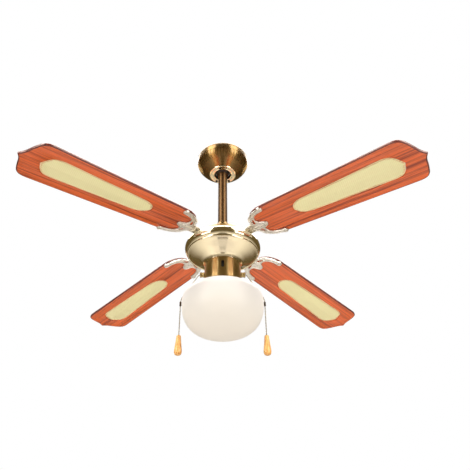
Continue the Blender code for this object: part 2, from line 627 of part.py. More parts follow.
tip_u = SWEEP_R
side_u = tip_u - 43.0
blade_half = [(tip_u, 0.0), (tip_u - 1.6, 2.6), (tip_u - 6.0, 9.0), (tip_u - 9.6, 18.0)]
blade_half += [(tip_u - 12.4, 29.0), (tip_u - 15.4, BLADE_TIP_HALF - 24.0), (tip_u - 19.5, BLADE_TIP_HALF - 12.5)]
blade_half += [(tip_u - 25.5, BLADE_TIP_HALF - 4.6), (tip_u - 33.0, BLADE_TIP_HALF - 1.0)]
blade_half += [(side_u, BLADE_TIP_HALF)]
blade_half += [(BLADE_ROOT_U + 72.0, BLADE_ROOT_HALF), (BLADE_ROOT_U + 44.0, BLADE_ROOT_HALF - 1.2)]
blade_half += [(BLADE_ROOT_U + 31.0, BLADE_ROOT_HALF - 4.2), (BLADE_ROOT_U + 19.0, BLADE_ROOT_HALF - 10.0)]
blade_half += [(BLADE_ROOT_U + 9.5, BLADE_ROOT_HALF - 19.0), (BLADE_ROOT_U + 3.2, BLADE_ROOT_HALF - 31.0)]
blade_half += [(BLADE_ROOT_U + 0.6, BLADE_ROOT_HALF - 43.0), (BLADE_ROOT_U, 0.0)]

cane_tip = tip_u - 43.0
cane_out = BLADE_TIP_HALF - CANE_BORDER + 1.0
cane_in = BLADE_ROOT_HALF - CANE_BORDER
window_half = [(cane_tip, 0.0), (cane_tip - 3.0, 5.5), (cane_tip - 6.0, 13.0)]
window_half += [(cane_tip - 10.0, cane_out - 12.0), (cane_tip - 16.5, cane_out - 4.5)]
window_half += [(cane_tip - 25.0, cane_out - 1.0), (cane_tip - 35.0, cane_out)]
window_half += [(CANE_INNER_U + 33.0, cane_in + 1.0), (CANE_INNER_U + 21.0, cane_in - 1.4)]
window_half += [(CANE_INNER_U + 11.0, cane_in - 6.4), (CANE_INNER_U + 4.0, cane_in - 13.6)]
window_half += [(CANE_INNER_U, 0.0)]


def both_sides(half):
    """The whole outline from the half on +V, the points on the centre line kept once."""
    return half + [(u, -v) for u, v in reversed(half) if v > 0.0]


def inset(outline, distance):
    """The outline moved inwards by a distance, point by point."""
    made = []
    count = len(outline)
    for i, (u, v) in enumerate(outline):
        before, after = Vector(outline[i - 1]), Vector(outline[(i + 1) % count])
        a = (Vector((u, v)) - before).normalized()
        b = (after - Vector((u, v))).normalized()
        along = (a + b).normalized()
        left = Vector((-along.y, along.x))
        stretch = distance / max(0.5, left.dot(Vector((-a.y, a.x))))
        made.append((u + left.x * stretch, v + left.y * stretch))
    return made


droop = Matrix.Rotation(math.radians(BLADE_DROOP), 4, "Y")
tilt = droop @ Matrix.Rotation(math.radians(-BLADE_PITCH), 4, "X")
rotor_axis = bpy.data.objects.new("rotor_axis", None)
rotor_axis.location = (0.0, 0.0, BLADE_Z * MM)
parts.objects.link(rotor_axis)


def sheet(name, loops, thickness, kind, angle, level=0.0):
    """A flat plate lying in the blade's tilted plane, as a filled and extruded 2D curve."""
    data = flat_curve(name, loops, thickness)
    obj = add(name, data, kind)
    obj.parent = rotor_axis
    turn = Matrix.Rotation(math.radians(angle), 4, "Z")
    obj.matrix_basis = turn @ tilt @ Matrix.Translation((0.0, 0.0, level * MM))
    return obj


def lobe(cu, cv, radius, start, end, count):
    angles = [start + (end - start) * i / count for i in range(count + 1)]
    return [(cu + polar(radius, a)[0], cv + polar(radius, a)[1]) for a in angles]


horn_u, boss_r = BLADE_ROOT_U + 49.0, 7.5
iron_half = lobe(BLADE_ROOT_U + 27.0, 0.0, 8.5, 0.0, 78.0, 4)
iron_half += [(BLADE_ROOT_U + 18.5, 13.0), (BLADE_ROOT_U + 16.5, 20.5), (BLADE_ROOT_U + 19.0, 28.0)]
iron_half += [(BLADE_ROOT_U + 25.5, 34.5), (BLADE_ROOT_U + 34.0, IRON_HALF - 11.5)]
iron_half += [(horn_u - 6.0, IRON_HALF - 9.6)]
iron_half += lobe(horn_u + 1.0, IRON_HALF - 2.5, boss_r, -60.0, 150.0, 8)
iron_half += [(BLADE_ROOT_U + 33.0, IRON_HALF - 0.5), (BLADE_ROOT_U + 20.0, IRON_HALF - 5.0)]
iron_half += [(BLADE_ROOT_U + 9.0, IRON_HALF - 13.0), (BLADE_ROOT_U + 0.5, 28.0), (BLADE_ROOT_U - 6.5, 18.5)]
pad_u = ROTOR_R + 6.0
iron_half += [(BLADE_ROOT_U - 14.0, 13.5), (BLADE_ROOT_U - 22.0, 12.5), (pad_u + 2.0, 12.5), (pad_u, 10.5)]
iron_outline = iron_half + [(u, -v) for u, v in reversed(iron_half) if v > 0.01]
opening = [(BLADE_ROOT_U + 14.5, 27.0), (BLADE_ROOT_U + 7.5, 22.0), (BLADE_ROOT_U + 3.0, 14.0)]
opening += [(BLADE_ROOT_U + 4.5, 9.5), (BLADE_ROOT_U + 9.5, 11.5), (BLADE_ROOT_U + 11.0, 18.0)]


def bent(u, v):
    """Where a point of the iron's flat outline lies: level over the bowl, then down under the blade."""
    low_u, high_u = BOWL_R - 1.5, BLADE_ROOT_U - 0.5
    share = min(1.0, max(0.0, (u - low_u) / (high_u - low_u)))
    share = share * share * (3.0 - 2.0 * share)
    pad = Vector((u, v, IRON_TOP - BLADE_Z))
    return pad.lerp(tilt @ Vector((u, v, -BLADE_T / 2 - GAP)), share)


def iron(name, angle):
    """A cast blade iron: a flat outline cut into strips, bent, and thickened downwards."""
    bm = bmesh.new()
    for loop in (iron_outline, opening, [(u, -v) for u, v in opening]):
        made = [bm.verts.new((u, v, 0.0)) for u, v in loop]
        for a, b in zip(made, made[1:] + made[:1]):
            bm.edges.new((a, b))
    bmesh.ops.triangle_fill(bm, edges=bm.edges[:], use_beauty=True, normal=(0.0, 0.0, 1.0))
    for strip in range(6):
        u = BOWL_R - 1.5 + strip * (BLADE_ROOT_U - BOWL_R + 1.0) / 5
        everything = bm.verts[:] + bm.edges[:] + bm.faces[:]
        across = {"plane_co": (u, 0.0, 0.0), "plane_no": (1.0, 0.0, 0.0)}
        bmesh.ops.bisect_plane(bm, geom=everything, dist=0.01, **across)
    bmesh.ops.triangulate(bm, faces=bm.faces[:])
    bm.normal_update()
    bmesh.ops.reverse_faces(bm, faces=[face for face in bm.faces if face.normal.z < 0.0])
    for vert in bm.verts:
        vert.co = bent(vert.co.x, vert.co.y) * MM
    data = bpy.data.meshes.new(name)
    bm.to_mesh(data)
    bm.free()
    obj = add(name, data, "nickel")
    obj.parent = rotor_axis
    obj.rotation_euler = (0.0, 0.0, math.radians(angle))
    thick = obj.modifiers.new("Thickness", "SOLIDIFY")
    thick.thickness = IRON_T * MM
    thick.offset = -1.0
    return obj


cane_outline = inset(both_sides(window_half), GAP)
for index in range(BLADE_COUNT):
    azimuth = 45.0 + index * 360.0 / BLADE_COUNT
    number = index + 1
    sheet(f"blade_{number}", [both_sides(blade_half), both_sides(window_half)], BLADE_T, "wood", azimuth)
    sheet(f"cane_panel_{number}", [cane_outline], CANE_T, "cane", azimuth)
    iron(f"blade_iron_{number}", azimuth)
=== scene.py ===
"""Ceiling fan with light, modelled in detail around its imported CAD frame.

Metres, +Z up. The origin is on the ceiling at the middle of the hanger bracket, so the fan hangs
below z = 0. Profiles and outlines are listed in millimetres. Levels come from the CAD nodes.
"""

import json
import math

import bmesh
import bpy
from mathutils import Matrix, Vector


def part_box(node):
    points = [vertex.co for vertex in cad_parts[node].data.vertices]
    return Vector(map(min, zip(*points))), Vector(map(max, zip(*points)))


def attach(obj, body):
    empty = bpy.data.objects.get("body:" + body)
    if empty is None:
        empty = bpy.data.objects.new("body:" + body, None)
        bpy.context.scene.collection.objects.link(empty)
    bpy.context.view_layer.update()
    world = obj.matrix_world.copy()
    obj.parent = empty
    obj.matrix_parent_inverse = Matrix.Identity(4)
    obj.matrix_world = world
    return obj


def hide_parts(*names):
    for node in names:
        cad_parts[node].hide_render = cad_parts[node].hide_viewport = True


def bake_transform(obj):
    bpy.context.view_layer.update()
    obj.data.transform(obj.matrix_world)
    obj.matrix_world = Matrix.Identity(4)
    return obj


bl_info = {
    "name": "Ceiling Fan With Light",
    "version": (1, 0, 0),
    "blender": (4, 5, 0),
    "location": "3D View > Sidebar > Fan",
    "description": "Models a cane-bladed ceiling fan with an opal globe around its CAD frame",
    "category": "Object",
}

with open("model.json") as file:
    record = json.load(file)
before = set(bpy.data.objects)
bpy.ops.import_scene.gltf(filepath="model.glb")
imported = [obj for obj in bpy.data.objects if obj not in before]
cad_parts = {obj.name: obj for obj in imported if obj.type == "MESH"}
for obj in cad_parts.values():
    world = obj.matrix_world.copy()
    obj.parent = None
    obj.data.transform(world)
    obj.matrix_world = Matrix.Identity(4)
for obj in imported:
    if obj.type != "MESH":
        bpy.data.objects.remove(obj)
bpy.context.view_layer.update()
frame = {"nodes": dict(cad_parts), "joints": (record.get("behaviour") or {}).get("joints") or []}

MM = 0.001
GAP = 0.3


def span(node):
    """Lowest z, highest z and half-width across X of a CAD node, in millimetres."""
    low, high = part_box(node)
    return low.z / MM, high.z / MM, (high.x - low.x) / 2 / MM


def linear(code):
    """An sRGB hex colour as linear red, green and blue."""
    shares = [int(code[i : i + 2], 16) / 255 for i in (1, 3, 5)]
    return tuple(c / 12.92 if c <= 0.04045 else ((c + 0.055) / 1.055) ** 2.4 for c in shares)


def joint_height(name):
    """Height of a joint's axis point, in millimetres."""
    return next(j["pos_m"][2] for j in frame["joints"] if j["name"] == name) / MM


def length_setting(name, description, default):
    return bpy.props.FloatProperty(name=name, description=description, default=default, unit="LENGTH")


def colour_setting(name, description, code):
    return bpy.props.FloatVectorProperty(
        name=name, description=description, default=linear(code), size=3, subtype="COLOR", min=0.0, max=1.0
    )


class FanSizes(bpy.types.PropertyGroup):
    """Sizes of the detail that the CAD frame doesn't hold."""

    flute_depth: length_setting("Flute depth", "Depth of the flutes round the canopy's shoulder", 0.0012)
    bead_pitch: length_setting("Bead pitch", "Distance between two beads of a pull chain", 0.0038)
    blade_edge: length_setting("Blade edge", "Rounding of the blades' edges", 0.0024)
    cane_pitch: length_setting("Cane pitch", "Distance between two strands of the woven cane", 0.0036)
    grain_width: length_setting("Grain width", "Width of a wide streak in the stained veneer", 0.006)
    rib_radius: length_setting("Rib radius", "Radius of the raised ribs on the blade irons", 0.0016)
    floor_drop: length_setting("Floor drop", "How far the studio floor lies below the ceiling", 2.4)
    flutes: bpy.props.IntProperty(
        name="Flutes", description="Number of flutes round the canopy's shoulder", default=48, min=12, max=90
    )


class FanColours(bpy.types.PropertyGroup):
    """Colours of the finishes."""

    brass: colour_setting("Brass", "Brushed pale brass of the motor bowl", "#f2e6c8")
    bronze: colour_setting("Bronze", "Bronze plate of the canopy", "#7d6238")
    wood: colour_setting("Wood", "Main colour of the stained veneer", "#d9622f")
    wood_dark: colour_setting("Dark grain", "Dark streaks of the stained veneer", "#8f2d12")
    cane: colour_setting("Cane", "Woven cane", "#fbeebf")
    opal: colour_setting("Opal", "Lower half of the opal globe", "#f6ead4")


# ---------------------------------------------------------------- materials


def add_node(tree, kind, settings=None, links=None):
    """Adds a node, sets its properties, inputs and colour stops, and links sockets into it."""
    made = tree.nodes.new("ShaderNode" + kind)
    for key, value in (settings or {}).items():
        if key == "stops":
            ramp = made.color_ramp
            while len(ramp.elements) < len(value):
                ramp.elements.new(0.5)
            for stop, (place, colour) in zip(ramp.elements, value):
                stop.position = place
                stop.color = (*colour, 1.0)
        elif isinstance(key, str) and hasattr(made, key):
            setattr(made, key, value)
        else:
            made.inputs[key].default_value = value
    for key, socket in (links or {}).items():
        tree.links.new(socket, made.inputs[key])
    return made


def new_finish(name, **values):
    """A material with its Principled shader's own values set, and its node tree."""
    made = bpy.data.materials.new(name)
    made.use_nodes = True
    shader = made.node_tree.nodes["Principled BSDF"]
    for key, value in values.items():
        shader.inputs[key.replace("_", " ")].default_value = value
    return made, made.node_tree, shader


def shade(colour, share):
    """A colour made darker or lighter by a factor."""
    return tuple(min(1.0, c * share) for c in colour)


def noise(tree, place, scale, detail, rough=0.5):
    """A cloudy pattern, scale features to the metre."""
    settings = {"Scale": scale, "Detail": detail, "Roughness": rough}
    return add_node(tree, "TexNoise", settings, {0: place})


def added(tree, pattern, share, other):
    """One pattern times a share, on top of another."""
    settings = {"operation": "MULTIPLY_ADD", 1: share}
    return add_node(tree, "Math", settings, {0: pattern, 2: other}).outputs[0]


def tinted(tree, shader, pattern, stops):
    """Colours the surface with a ramp over a pattern."""
    tint = add_node(tree, "ValToRGB", {"stops": stops}, {0: pattern})
    tree.links.new(tint.outputs[0], shader.inputs["Base Color"])


def glossed(tree, shader, pattern, low, high, reach=(0.3, 0.7)):
    """Lets a pattern carry the roughness from one value to another."""
    settings = {"From Min": reach[0], "From Max": reach[1], "To Min": low, "To Max": high}
    gloss = add_node(tree, "MapRange", settings, {0: pattern})
    tree.links.new(gloss.outputs[0], shader.inputs["Roughness"])


def embossed(tree, shader, pattern, strength, depth):
    """Raises the skin by a pattern, up to a depth in metres."""
    bump = add_node(tree, "Bump", {"Strength": strength, "Distance": depth}, {"Height": pattern})
    tree.links.new(bump.outputs[0], shader.inputs["Normal"])


def spun_metal(name, code, rough, coat=0.0):
    """Sheet metal spun on a lathe and brushed as it turned: fine rings round the axis draw each
    reflection out into a band that runs down the shape. A coat is a clear lacquer over it."""
    colour = linear(code) if isinstance(code, str) else code
    values = {"Metallic": 1.0, "Anisotropic": 0.85, "Anisotropic_Rotation": 0.25, "Coat_Weight": coat}
    made, tree, shader = new_finish(name, Coat_Roughness=0.12, **values)
    place = add_node(tree, "TexCoord").outputs["Object"]
    flat = add_node(tree, "VectorMath", {"operation": "MULTIPLY", 1: (1.0, 1.0, 0.0)}, {0: place})
    radius = add_node(tree, "VectorMath", {"operation": "LENGTH"}, {0: flat.outputs[0]})
    height = add_node(tree, "SeparateXYZ", None, {0: place})
    rings = add_node(tree, "CombineXYZ", None, {0: radius.outputs["Value"], 1: height.outputs["Z"]})
    # A real brush line is about 0.1 mm wide. These are drawn ten times coarser so that they show.
    lines = noise(tree, rings.outputs[0], 900.0, 4.0, 0.7).outputs[0]
    cloud = noise(tree, place, 22.0, 3.0).outputs[0]
    stops = [(0.35, shade(colour, 0.86)), (0.65, colour), (0.95, shade(colour, 1.08))]
    tinted(tree, shader, added(tree, lines, 0.35, cloud), stops)
    glossed(tree, shader, lines, rough * 0.85, rough * 1.2)
    embossed(tree, shader, lines, 0.2, 0.00005)
    turn = add_node(tree, "Tangent", {"direction_type": "RADIAL", "axis": "Z"})
    tree.links.new(turn.outputs[0], shader.inputs["Tangent"])
    return made


def plain_metal(name, code, rough, grain, depth):
    """Cast, drawn or pressed metal with a slightly uneven skin that breaks up its reflections."""
    colour = linear(code)
    made, tree, shader = new_finish(name, Metallic=1.0)
    place = add_node(tree, "TexCoord").outputs["Object"]
    skin = noise(tree, place, 1.0 / grain, 4.0).outputs[0]
    tinted(tree, shader, skin, [(0.3, shade(colour, 0.8)), (0.7, colour)])
    glossed(tree, shader, skin, rough * 0.75, rough * 1.3)
    embossed(tree, shader, skin, 0.4, depth)
    return made


def moulded(name, code, rough, grain=0.0012, depth=0.00004, **values):
    """Moulded plastic, enamel or glazed clay: an even colour under a faint orange-peel skin."""
    colour = linear(code)
    made, tree, shader = new_finish(name, **values)
    place = add_node(tree, "TexCoord").outputs["Object"]
    skin = noise(tree, place, 1.0 / grain, 2.0).outputs[0]
    cloud = noise(tree, place, 30.0, 2.0).outputs[0]
    tinted(tree, shader, cloud, [(0.35, shade(colour, 0.88)), (0.65, shade(colour, 1.06))])
    glossed(tree, shader, cloud, rough * 0.85, rough * 1.15)
    embossed(tree, shader, skin, 0.3, depth)
    return made


def streaked_wood(name, along, light, dark, width, source, rough=0.3):
    """Stained and varnished wood: long dark vessels and pale streaks along the grain, under a thin
    gloss coat. along gives the pattern's scale along and across the grain."""
    made, tree, shader = new_finish(name, Coat_Weight=0.25, Coat_Roughness=0.15)
    place = add_node(tree, "TexCoord").outputs[source]
    sway = noise(tree, place, 4.0, 1.0).outputs["Color"]
    shift = add_node(tree, "VectorMath", {"operation": "SCALE", "Scale": 0.008}, {0: sway})
    moved = add_node(tree, "VectorMath", {"operation": "ADD"}, {0: place, 1: shift.outputs[0]}).outputs[0]
    broad = add_node(tree, "Mapping", {"Scale": tuple(s / width for s in along)}, {0: moved})
    figure = noise(tree, broad.outputs[0], 1.0, 4.0, 0.62).outputs[0]
    thin = add_node(tree, "Mapping", {"Scale": tuple(s * 5.0 / width for s in along)}, {0: moved})
    pores = noise(tree, thin.outputs[0], 1.0, 2.0).outputs[0]
    between = tuple((a + b) / 2 for a, b in zip(light, dark))
    stops = [(0.5, dark), (0.59, between), (0.65, light), (0.8, shade(light, 1.35))]
    tinted(tree, shader, added(tree, pores, 0.35, figure), stops)
    glossed(tree, shader, pores, rough * 1.3, rough * 0.85)
    embossed(tree, shader, pores, 0.25, 0.0001)
    return made


def woven_cane(name, colour, pitch):
    """Split rattan woven over and under: pale satin strands, and rougher gaps between them that painted shade
    makes slightly darker.
    """
    made, tree, shader = new_finish(name)
    place = add_node(tree, "TexCoord").outputs["UV"]
    # At scale 1 the wave turns through 20 radians in each unit, so this gives one strand a pitch.
    settings = {"wave_type": "BANDS", "Scale": math.tau / (20.0 * pitch), "Distortion": 0.25}
    waves = []
    for angle in (45.0, 135.0):
        across = add_node(tree, "Mapping", {"Rotation": (0.0, 0.0, math.radians(angle))}, {0: place})
        waves.append(add_node(tree, "TexWave", settings, {0: across.outputs[0]}).outputs["Fac"])
    weave = add_node(tree, "Math", {"operation": "MAXIMUM"}, {0: waves[0], 1: waves[1]}).outputs[0]
    age = noise(tree, place, 55.0, 4.0).outputs[0]
    # The low stops are painted shade: they darken the gaps between the strands.
    stops = [(0.4, shade(colour, 0.97)), (0.75, shade(colour, 1.08)), (1.0, shade(colour, 1.16))]
    tinted(tree, shader, added(tree, age, 0.5, weave), stops)
    glossed(tree, shader, weave, 0.65, 0.4, (0.0, 1.0))
    embossed(tree, shader, weave, 0.5, 0.0004)
    return made


def opal_glass(name, colour, low, high):
    """Blown opal glass: milky white, and warmer towards the base. A low painted glow, with no lamp lit
    inside, stands in for the light that scatters inside it and evens out its shading; the etched skin spreads
    every highlight."""
    # The emission is a painted glow: the globe glows though its lamp is off.
    made, tree, shader = new_finish(name, IOR=1.5, Emission_Strength=0.38)
    shader.inputs["Emission Color"].default_value = (*linear("#faf7f6"), 1.0)
    place = add_node(tree, "TexCoord").outputs["Object"]
    height = add_node(tree, "SeparateXYZ", None, {0: place})
    settings = {"From Min": low * MM, "From Max": high * MM}
    level = add_node(tree, "MapRange", settings, {0: height.outputs["Z"]})
    cloud = noise(tree, place, 12.0, 2.0).outputs[0]
    # The ramp's colours are dimmed so that together with the painted glow the globe comes out evenly bright.
    stops = [(0.0, shade(colour, 0.6)), (0.45, shade(linear("#f8f3ea"), 0.55))]
    stops += [(1.0, shade(linear("#f3f3f8"), 0.5))]
    tinted(tree, shader, added(tree, cloud, 0.06, level.outputs[0]), stops)
    glossed(tree, shader, cloud, 0.42, 0.5)
    return made


def build_finishes():
    """Every material of the fan by a short name."""
    colours = bpy.context.scene.fan_colours
    sizes = bpy.context.scene.fan_sizes
    globe_low, globe_high, _ = span("globe")
    wood, dark = tuple(colours.wood), tuple(colours.wood_dark)
    grain = (0.012, 1.0, 1.0)
    return {
        "brass": spun_metal("brushed pale brass", tuple(colours.brass), 0.15, 0.1),
        "tan_brass": spun_metal("brushed antique brass", "#c6ac78", 0.3, 0.15),
        "dark_brass": spun_metal("darkened brass cover", "#8c6e3a", 0.36),
        "bronze": spun_metal("brushed bronze plate", tuple(colours.bronze), 0.3, 0.3),
        "rod_bronze": spun_metal("brown lacquered tube", "#6f563a", 0.55),
        "pale_brass": spun_metal("polished brass ring", "#ecdfbe", 0.25, 0.2),
        "nickel": plain_metal("tumbled nickel casting", "#fbf8f4", 0.42, 0.004, 0.00008),
        "zinc": plain_metal("zinc plated pressed steel", "#a9aaa6", 0.34, 0.002, 0.00003),
        "dark_steel": plain_metal("blackened steel screw", "#4a443d", 0.35, 0.001, 0.00003),
        "chain": plain_metal("nickel plated bead chain", "#b3a993", 0.22, 0.002, 0.00002),
        "coupling": plain_metal("gunmetal chain coupling", "#5c5148", 0.3, 0.002, 0.00002),
        "lamination": plain_metal("stacked lamination steel", "#6d6e70", 0.45, 0.0015, 0.0001),
        "copper": plain_metal("enamelled copper wire", "#b5673a", 0.3, 0.0009, 0.0002),
        "black_enamel": moulded("black stove enamel", "#141312", 0.32),
        "black_plastic": moulded("black phenolic moulding", "#1a1917", 0.45),
        "white_plastic": moulded("white nylon moulding", "#d9d7d0", 0.5),
        "porcelain": moulded("glazed porcelain", "#ece8df", 0.12, 0.004, 0.00003, Coat_Weight=0.6),
        "lamp_glass": moulded("frosted lamp glass", "#f5f2ea", 0.4, 0.0006, 0.00002),
        "wood": streaked_wood("mahogany stained veneer", grain, wood, dark, sizes.grain_width, "UV"),
        "wood_edge": streaked_wood(
            "dark stained edge band", grain, linear("#6a2f28"), linear("#3d1a1a"), 0.003, "UV"
        ),
        "pull_wood": streaked_wood(
            "turned beech", (1.0, 1.0, 0.06), linear("#eeb26d"), linear("#cf8744"), 0.0025, "Object", 0.4
        ),
        "cane": woven_cane("woven cane sheet", tuple(colours.cane), sizes.cane_pitch),
        "reed": streaked_wood(
            "split reed edging", grain, linear("#f6dcae"), linear("#dcb57d"), 0.002, "UV", 0.4
        ),
        "opal": opal_glass("blown opal glass", tuple(colours.opal), globe_low, globe_high),
    }


FINISHES = {}


def finish(kind):
    """The material of that short name, all of them built at the first call."""
    if not FINISHES:
        FINISHES.update(build_finishes())
    return FINISHES[kind]


# ---------------------------------------------------------------- modelling by hand


def deselect():
    if bpy.context.mode != "OBJECT":
        bpy.ops.object.mode_set(mode="OBJECT")
    bpy.ops.object.select_all(action="DESELECT")


def activate(piece):
    deselect()
    piece.select_set(True)
    bpy.context.view_layer.objects.active = piece


def edit(piece, mode="VERT"):
    activate(piece)
    bpy.ops.object.mode_set(mode="EDIT")
    bpy.ops.mesh.select_mode(type=mode)


def close_up(piece, angle=32.0):
    """Leaves edit mode with the normals outward and only the sharp edges left unsmoothed."""
    bpy.ops.mesh.select_all(action="SELECT")
    bpy.ops.mesh.normals_make_consistent(inside=False)
    activate(piece)
    bpy.ops.object.transform_apply(location=True, rotation=True, scale=True)
    bpy.ops.object.shade_smooth_by_angle(angle=math.radians(angle))
    return piece


def named(piece, name):
    piece.name = name
    piece.data.name = name
    return piece


def turned(name, profile, segments=96, ends="bridge"):
    """A turned piece. A ring is added at the first radius and height, then extruded and resized to
    each next one. Its two ends are bridged into a hollow section, or each is filled."""
    deselect()
    radius, height = profile[0]
    bpy.ops.mesh.primitive_circle_add(vertices=segments, radius=radius * MM, location=(0, 0, height * MM))
    piece = named(bpy.context.object, name)
    edit(piece, "EDGE")
    bpy.ops.mesh.select_all(action="SELECT")
    for next_radius, next_height in profile[1:]:
        rise = {"value": (0.0, 0.0, (next_height - height) * MM)}
        bpy.ops.mesh.extrude_edges_move(TRANSFORM_OT_translate=rise)
        share = next_radius / radius
        bpy.ops.transform.resize(value=(share, share, 1.0), center_override=(0.0, 0.0, 0.0))
        radius, height = next_radius, next_height
    bpy.ops.mesh.select_all(action="DESELECT")
    bpy.ops.mesh.select_non_manifold()
    if ends == "bridge":
        bpy.ops.mesh.bridge_edge_loops()
    else:
        bpy.ops.mesh.fill_holes(sides=0)
    return close_up(piece)


def select_faces(piece, wanted):
    """In edit mode, selects the faces whose centre and normal pass the test."""
    edit(piece, "FACE")
    bpy.ops.mesh.select_all(action="DESELECT")
    bm = bmesh.from_edit_mesh(piece.data)
    for face in bm.faces:
        if wanted(face.calc_center_median(), face.normal):
            face.select_set(True)
    bmesh.update_edit_mesh(piece.data)


def move_mesh(piece, matrix):
    """Puts a piece's place into its mesh."""
    piece.data.transform(matrix)
    piece.data.update()
    return piece


def duplicate(piece, name, matrix):
    """A copy with its own mesh, moved by the matrix."""
    made = piece.copy()
    made.data = piece.data.copy()
    bpy.context.scene.collection.objects.link(made)
    return move_mesh(named(made, name), matrix)


def join(pieces, name):
    """One object from several, the first one's name replaced."""
    deselect()
    for piece in pieces:
        piece.select_set(True)
    bpy.context.view_layer.objects.active = pieces[0]
    bpy.ops.object.join()
    return named(pieces[0], name)


def cut(piece, tools):
    """Cuts each tool out of the piece, and removes the tool."""
    for tool in tools:
        activate(piece)
        made = piece.modifiers.new("Cut", "BOOLEAN")
        made.solver = "EXACT"
        made.object = tool
        bpy.ops.object.modifier_apply(modifier=made.name)
        bpy.data.objects.remove(tool)
    activate(piece)
    bpy.ops.object.shade_smooth_by_angle(angle=math.radians(32.0))
    return piece


def rod_between(name, radius, start, end, segments=24):
    """A cylinder between two points, in millimetres."""
    deselect()
    a, b = Vector(start) * MM, Vector(end) * MM
    length = (b - a).length
    bpy.ops.mesh.primitive_cylinder_add(vertices=segments, radius=radius * MM, depth=length)
    piece = named(bpy.context.object, name)
    turn = (b - a).to_track_quat("Z", "Y").to_matrix().to_4x4()
    return move_mesh(piece, Matrix.Translation((a + b) / 2) @ turn)


def block(name, low, high, edge=0.0):
    """A box between two corners in millimetres, its edges rounded."""
    deselect()
    a, b = Vector(low) * MM, Vector(high) * MM
    bpy.ops.mesh.primitive_cube_add(size=1.0, location=(a + b) / 2, scale=b - a)
    piece = named(bpy.context.object, name)
    bpy.ops.object.transform_apply(location=True, rotation=True, scale=True)
    if edge:
        edit(piece, "EDGE")
        bpy.ops.mesh.select_all(action="SELECT")
        bpy.ops.mesh.bevel(offset=edge * MM, segments=3)
        close_up(piece)
    return piece


def curve_of(name, loops, cyclic, dimensions):
    """A poly curve object through the points of each loop, in millimetres."""
    data = bpy.data.curves.new(name, "CURVE")
    data.dimensions = dimensions
    for loop in loops:
        line = data.splines.new("POLY")
        line.points.add(len(loop) - 1)
        for point, place in zip(line.points, loop):
            point.co = (*(Vector((*place, 0.0)[:3]) * MM), 1.0)
        line.use_cyclic_u = cyclic
    made = bpy.data.objects.new(name, data)
    bpy.context.scene.collection.objects.link(made)
    return made


def as_mesh(piece, name):
    """Turns a curve into a welded mesh that carries its flat plan as a UV map, in metres."""
    activate(piece)
    bpy.ops.object.convert(target="MESH")
    piece = named(bpy.context.object, name)
    edit(piece)
    bpy.ops.mesh.select_all(action="SELECT")
    bpy.ops.mesh.remove_doubles(threshold=0.00001)
    close_up(piece, 40.0)
    while piece.data.uv_layers:
        piece.data.uv_layers.remove(piece.data.uv_layers[0])
    plan = piece.data.uv_layers.new(name="plan")
    for corner in piece.data.loops:
        place = piece.data.vertices[corner.vertex_index].co
        plan.data[corner.index].uv = (place.x, place.y)
    return piece


def plate(name, loops, thickness, edge):
    """A flat piece with rounded edges from closed outlines, later ones cutting holes."""
    made = curve_of(name, loops, True, "2D")
    made.data.fill_mode = "BOTH"
    made.data.extrude = (thickness / 2 - edge) * MM
    made.data.bevel_depth = edge * MM
    made.data.bevel_resolution = 2
    made.data.offset = -edge * MM
    return as_mesh(made, name)


def tube(name, points, radius, cyclic=False, resolution=2):
    """A round bar along a line of points."""
    made = curve_of(name, [points], cyclic, "3D")
    made.data.bevel_depth = radius * MM
    made.data.bevel_resolution = resolution
    made.data.use_fill_caps = not cyclic
    return as_mesh(made, name)


def softened(points, reach, closed=True):
    """The corners of an outline or profile rounded off, no more than reach from each corner."""
    made = []
    count = len(points)
    for i, point in enumerate(points):
        if not closed and i in (0, count - 1):
            made.append(point)
            continue
        here, before, after = Vector(point), Vector(points[i - 1]), Vector(points[(i + 1) % count])
        back, ahead = before - here, after - here
        back *= min(reach, back.length * 0.45) / back.length
        ahead *= min(reach, ahead.length * 0.45) / ahead.length
        made += [tuple(here + back), tuple(here + (back + ahead) / 4), tuple(here + ahead)]
    return made


def flowing(points, steps=3):
    """A smooth line through the points (Catmull-Rom)."""
    knots = [Vector(p) for p in points]
    knots = [knots[0] * 2 - knots[1]] + knots + [knots[-1] * 2 - knots[-2]]
    made = []
    for a, b, c, d in zip(knots, knots[1:], knots[2:], knots[3:]):
        for i in range(steps):
            t = i / steps
            bend = (2 * a - 5 * b + 4 * c - d) * t * t + (3 * b - a - 3 * c + d) * t**3
            made.append(tuple(0.5 * (2 * b + (c - a) * t + bend)))
    return made + [tuple(points[-1])]


def resampled(loop, step):
    """A closed outline with no side longer than step."""
    made = []
    for a, b in zip(loop, loop[1:] + loop[:1]):
        a, b = Vector(a), Vector(b)
        count = max(1, math.ceil((b - a).length / step))
        made += [tuple(a.lerp(b, i / count)) for i in range(count)]
    return made


def inset(outline, distance):
    """A closed outline moved inwards by a distance, point by point."""
    made = []
    count = len(outline)
    for i, point in enumerate(outline):
        here, before, after = Vector(point), Vector(outline[i - 1]), Vector(outline[(i + 1) % count])
        a, b = (here - before).normalized(), (after - here).normalized()
        along = (a + b).normalized()
        left = Vector((-along.y, along.x))
        made.append(tuple(here + left * distance / max(0.6, left.dot(Vector((-a.y, a.x))))))
    return made


def polar(radius, degrees):
    return radius * math.cos(math.radians(degrees)), radius * math.sin(math.radians(degrees))


def both_sides(half):
    """The whole outline from its half on +V, the points on the centre line kept once."""
    return half + [(u, -v) for u, v in reversed(half) if v > 0.01]


def hand_over(piece, kinds, body, slot, *nodes):
    """Gives a finished piece its materials and its body, and hides the CAD nodes it stands for. Its slot is
    not used.
    """
    piece.data.materials.clear()
    for kind in kinds if isinstance(kinds, (list, tuple)) else [kinds]:
        piece.data.materials.append(finish(kind))
    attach(piece, body)
    if nodes:
        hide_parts(*nodes)
    return piece


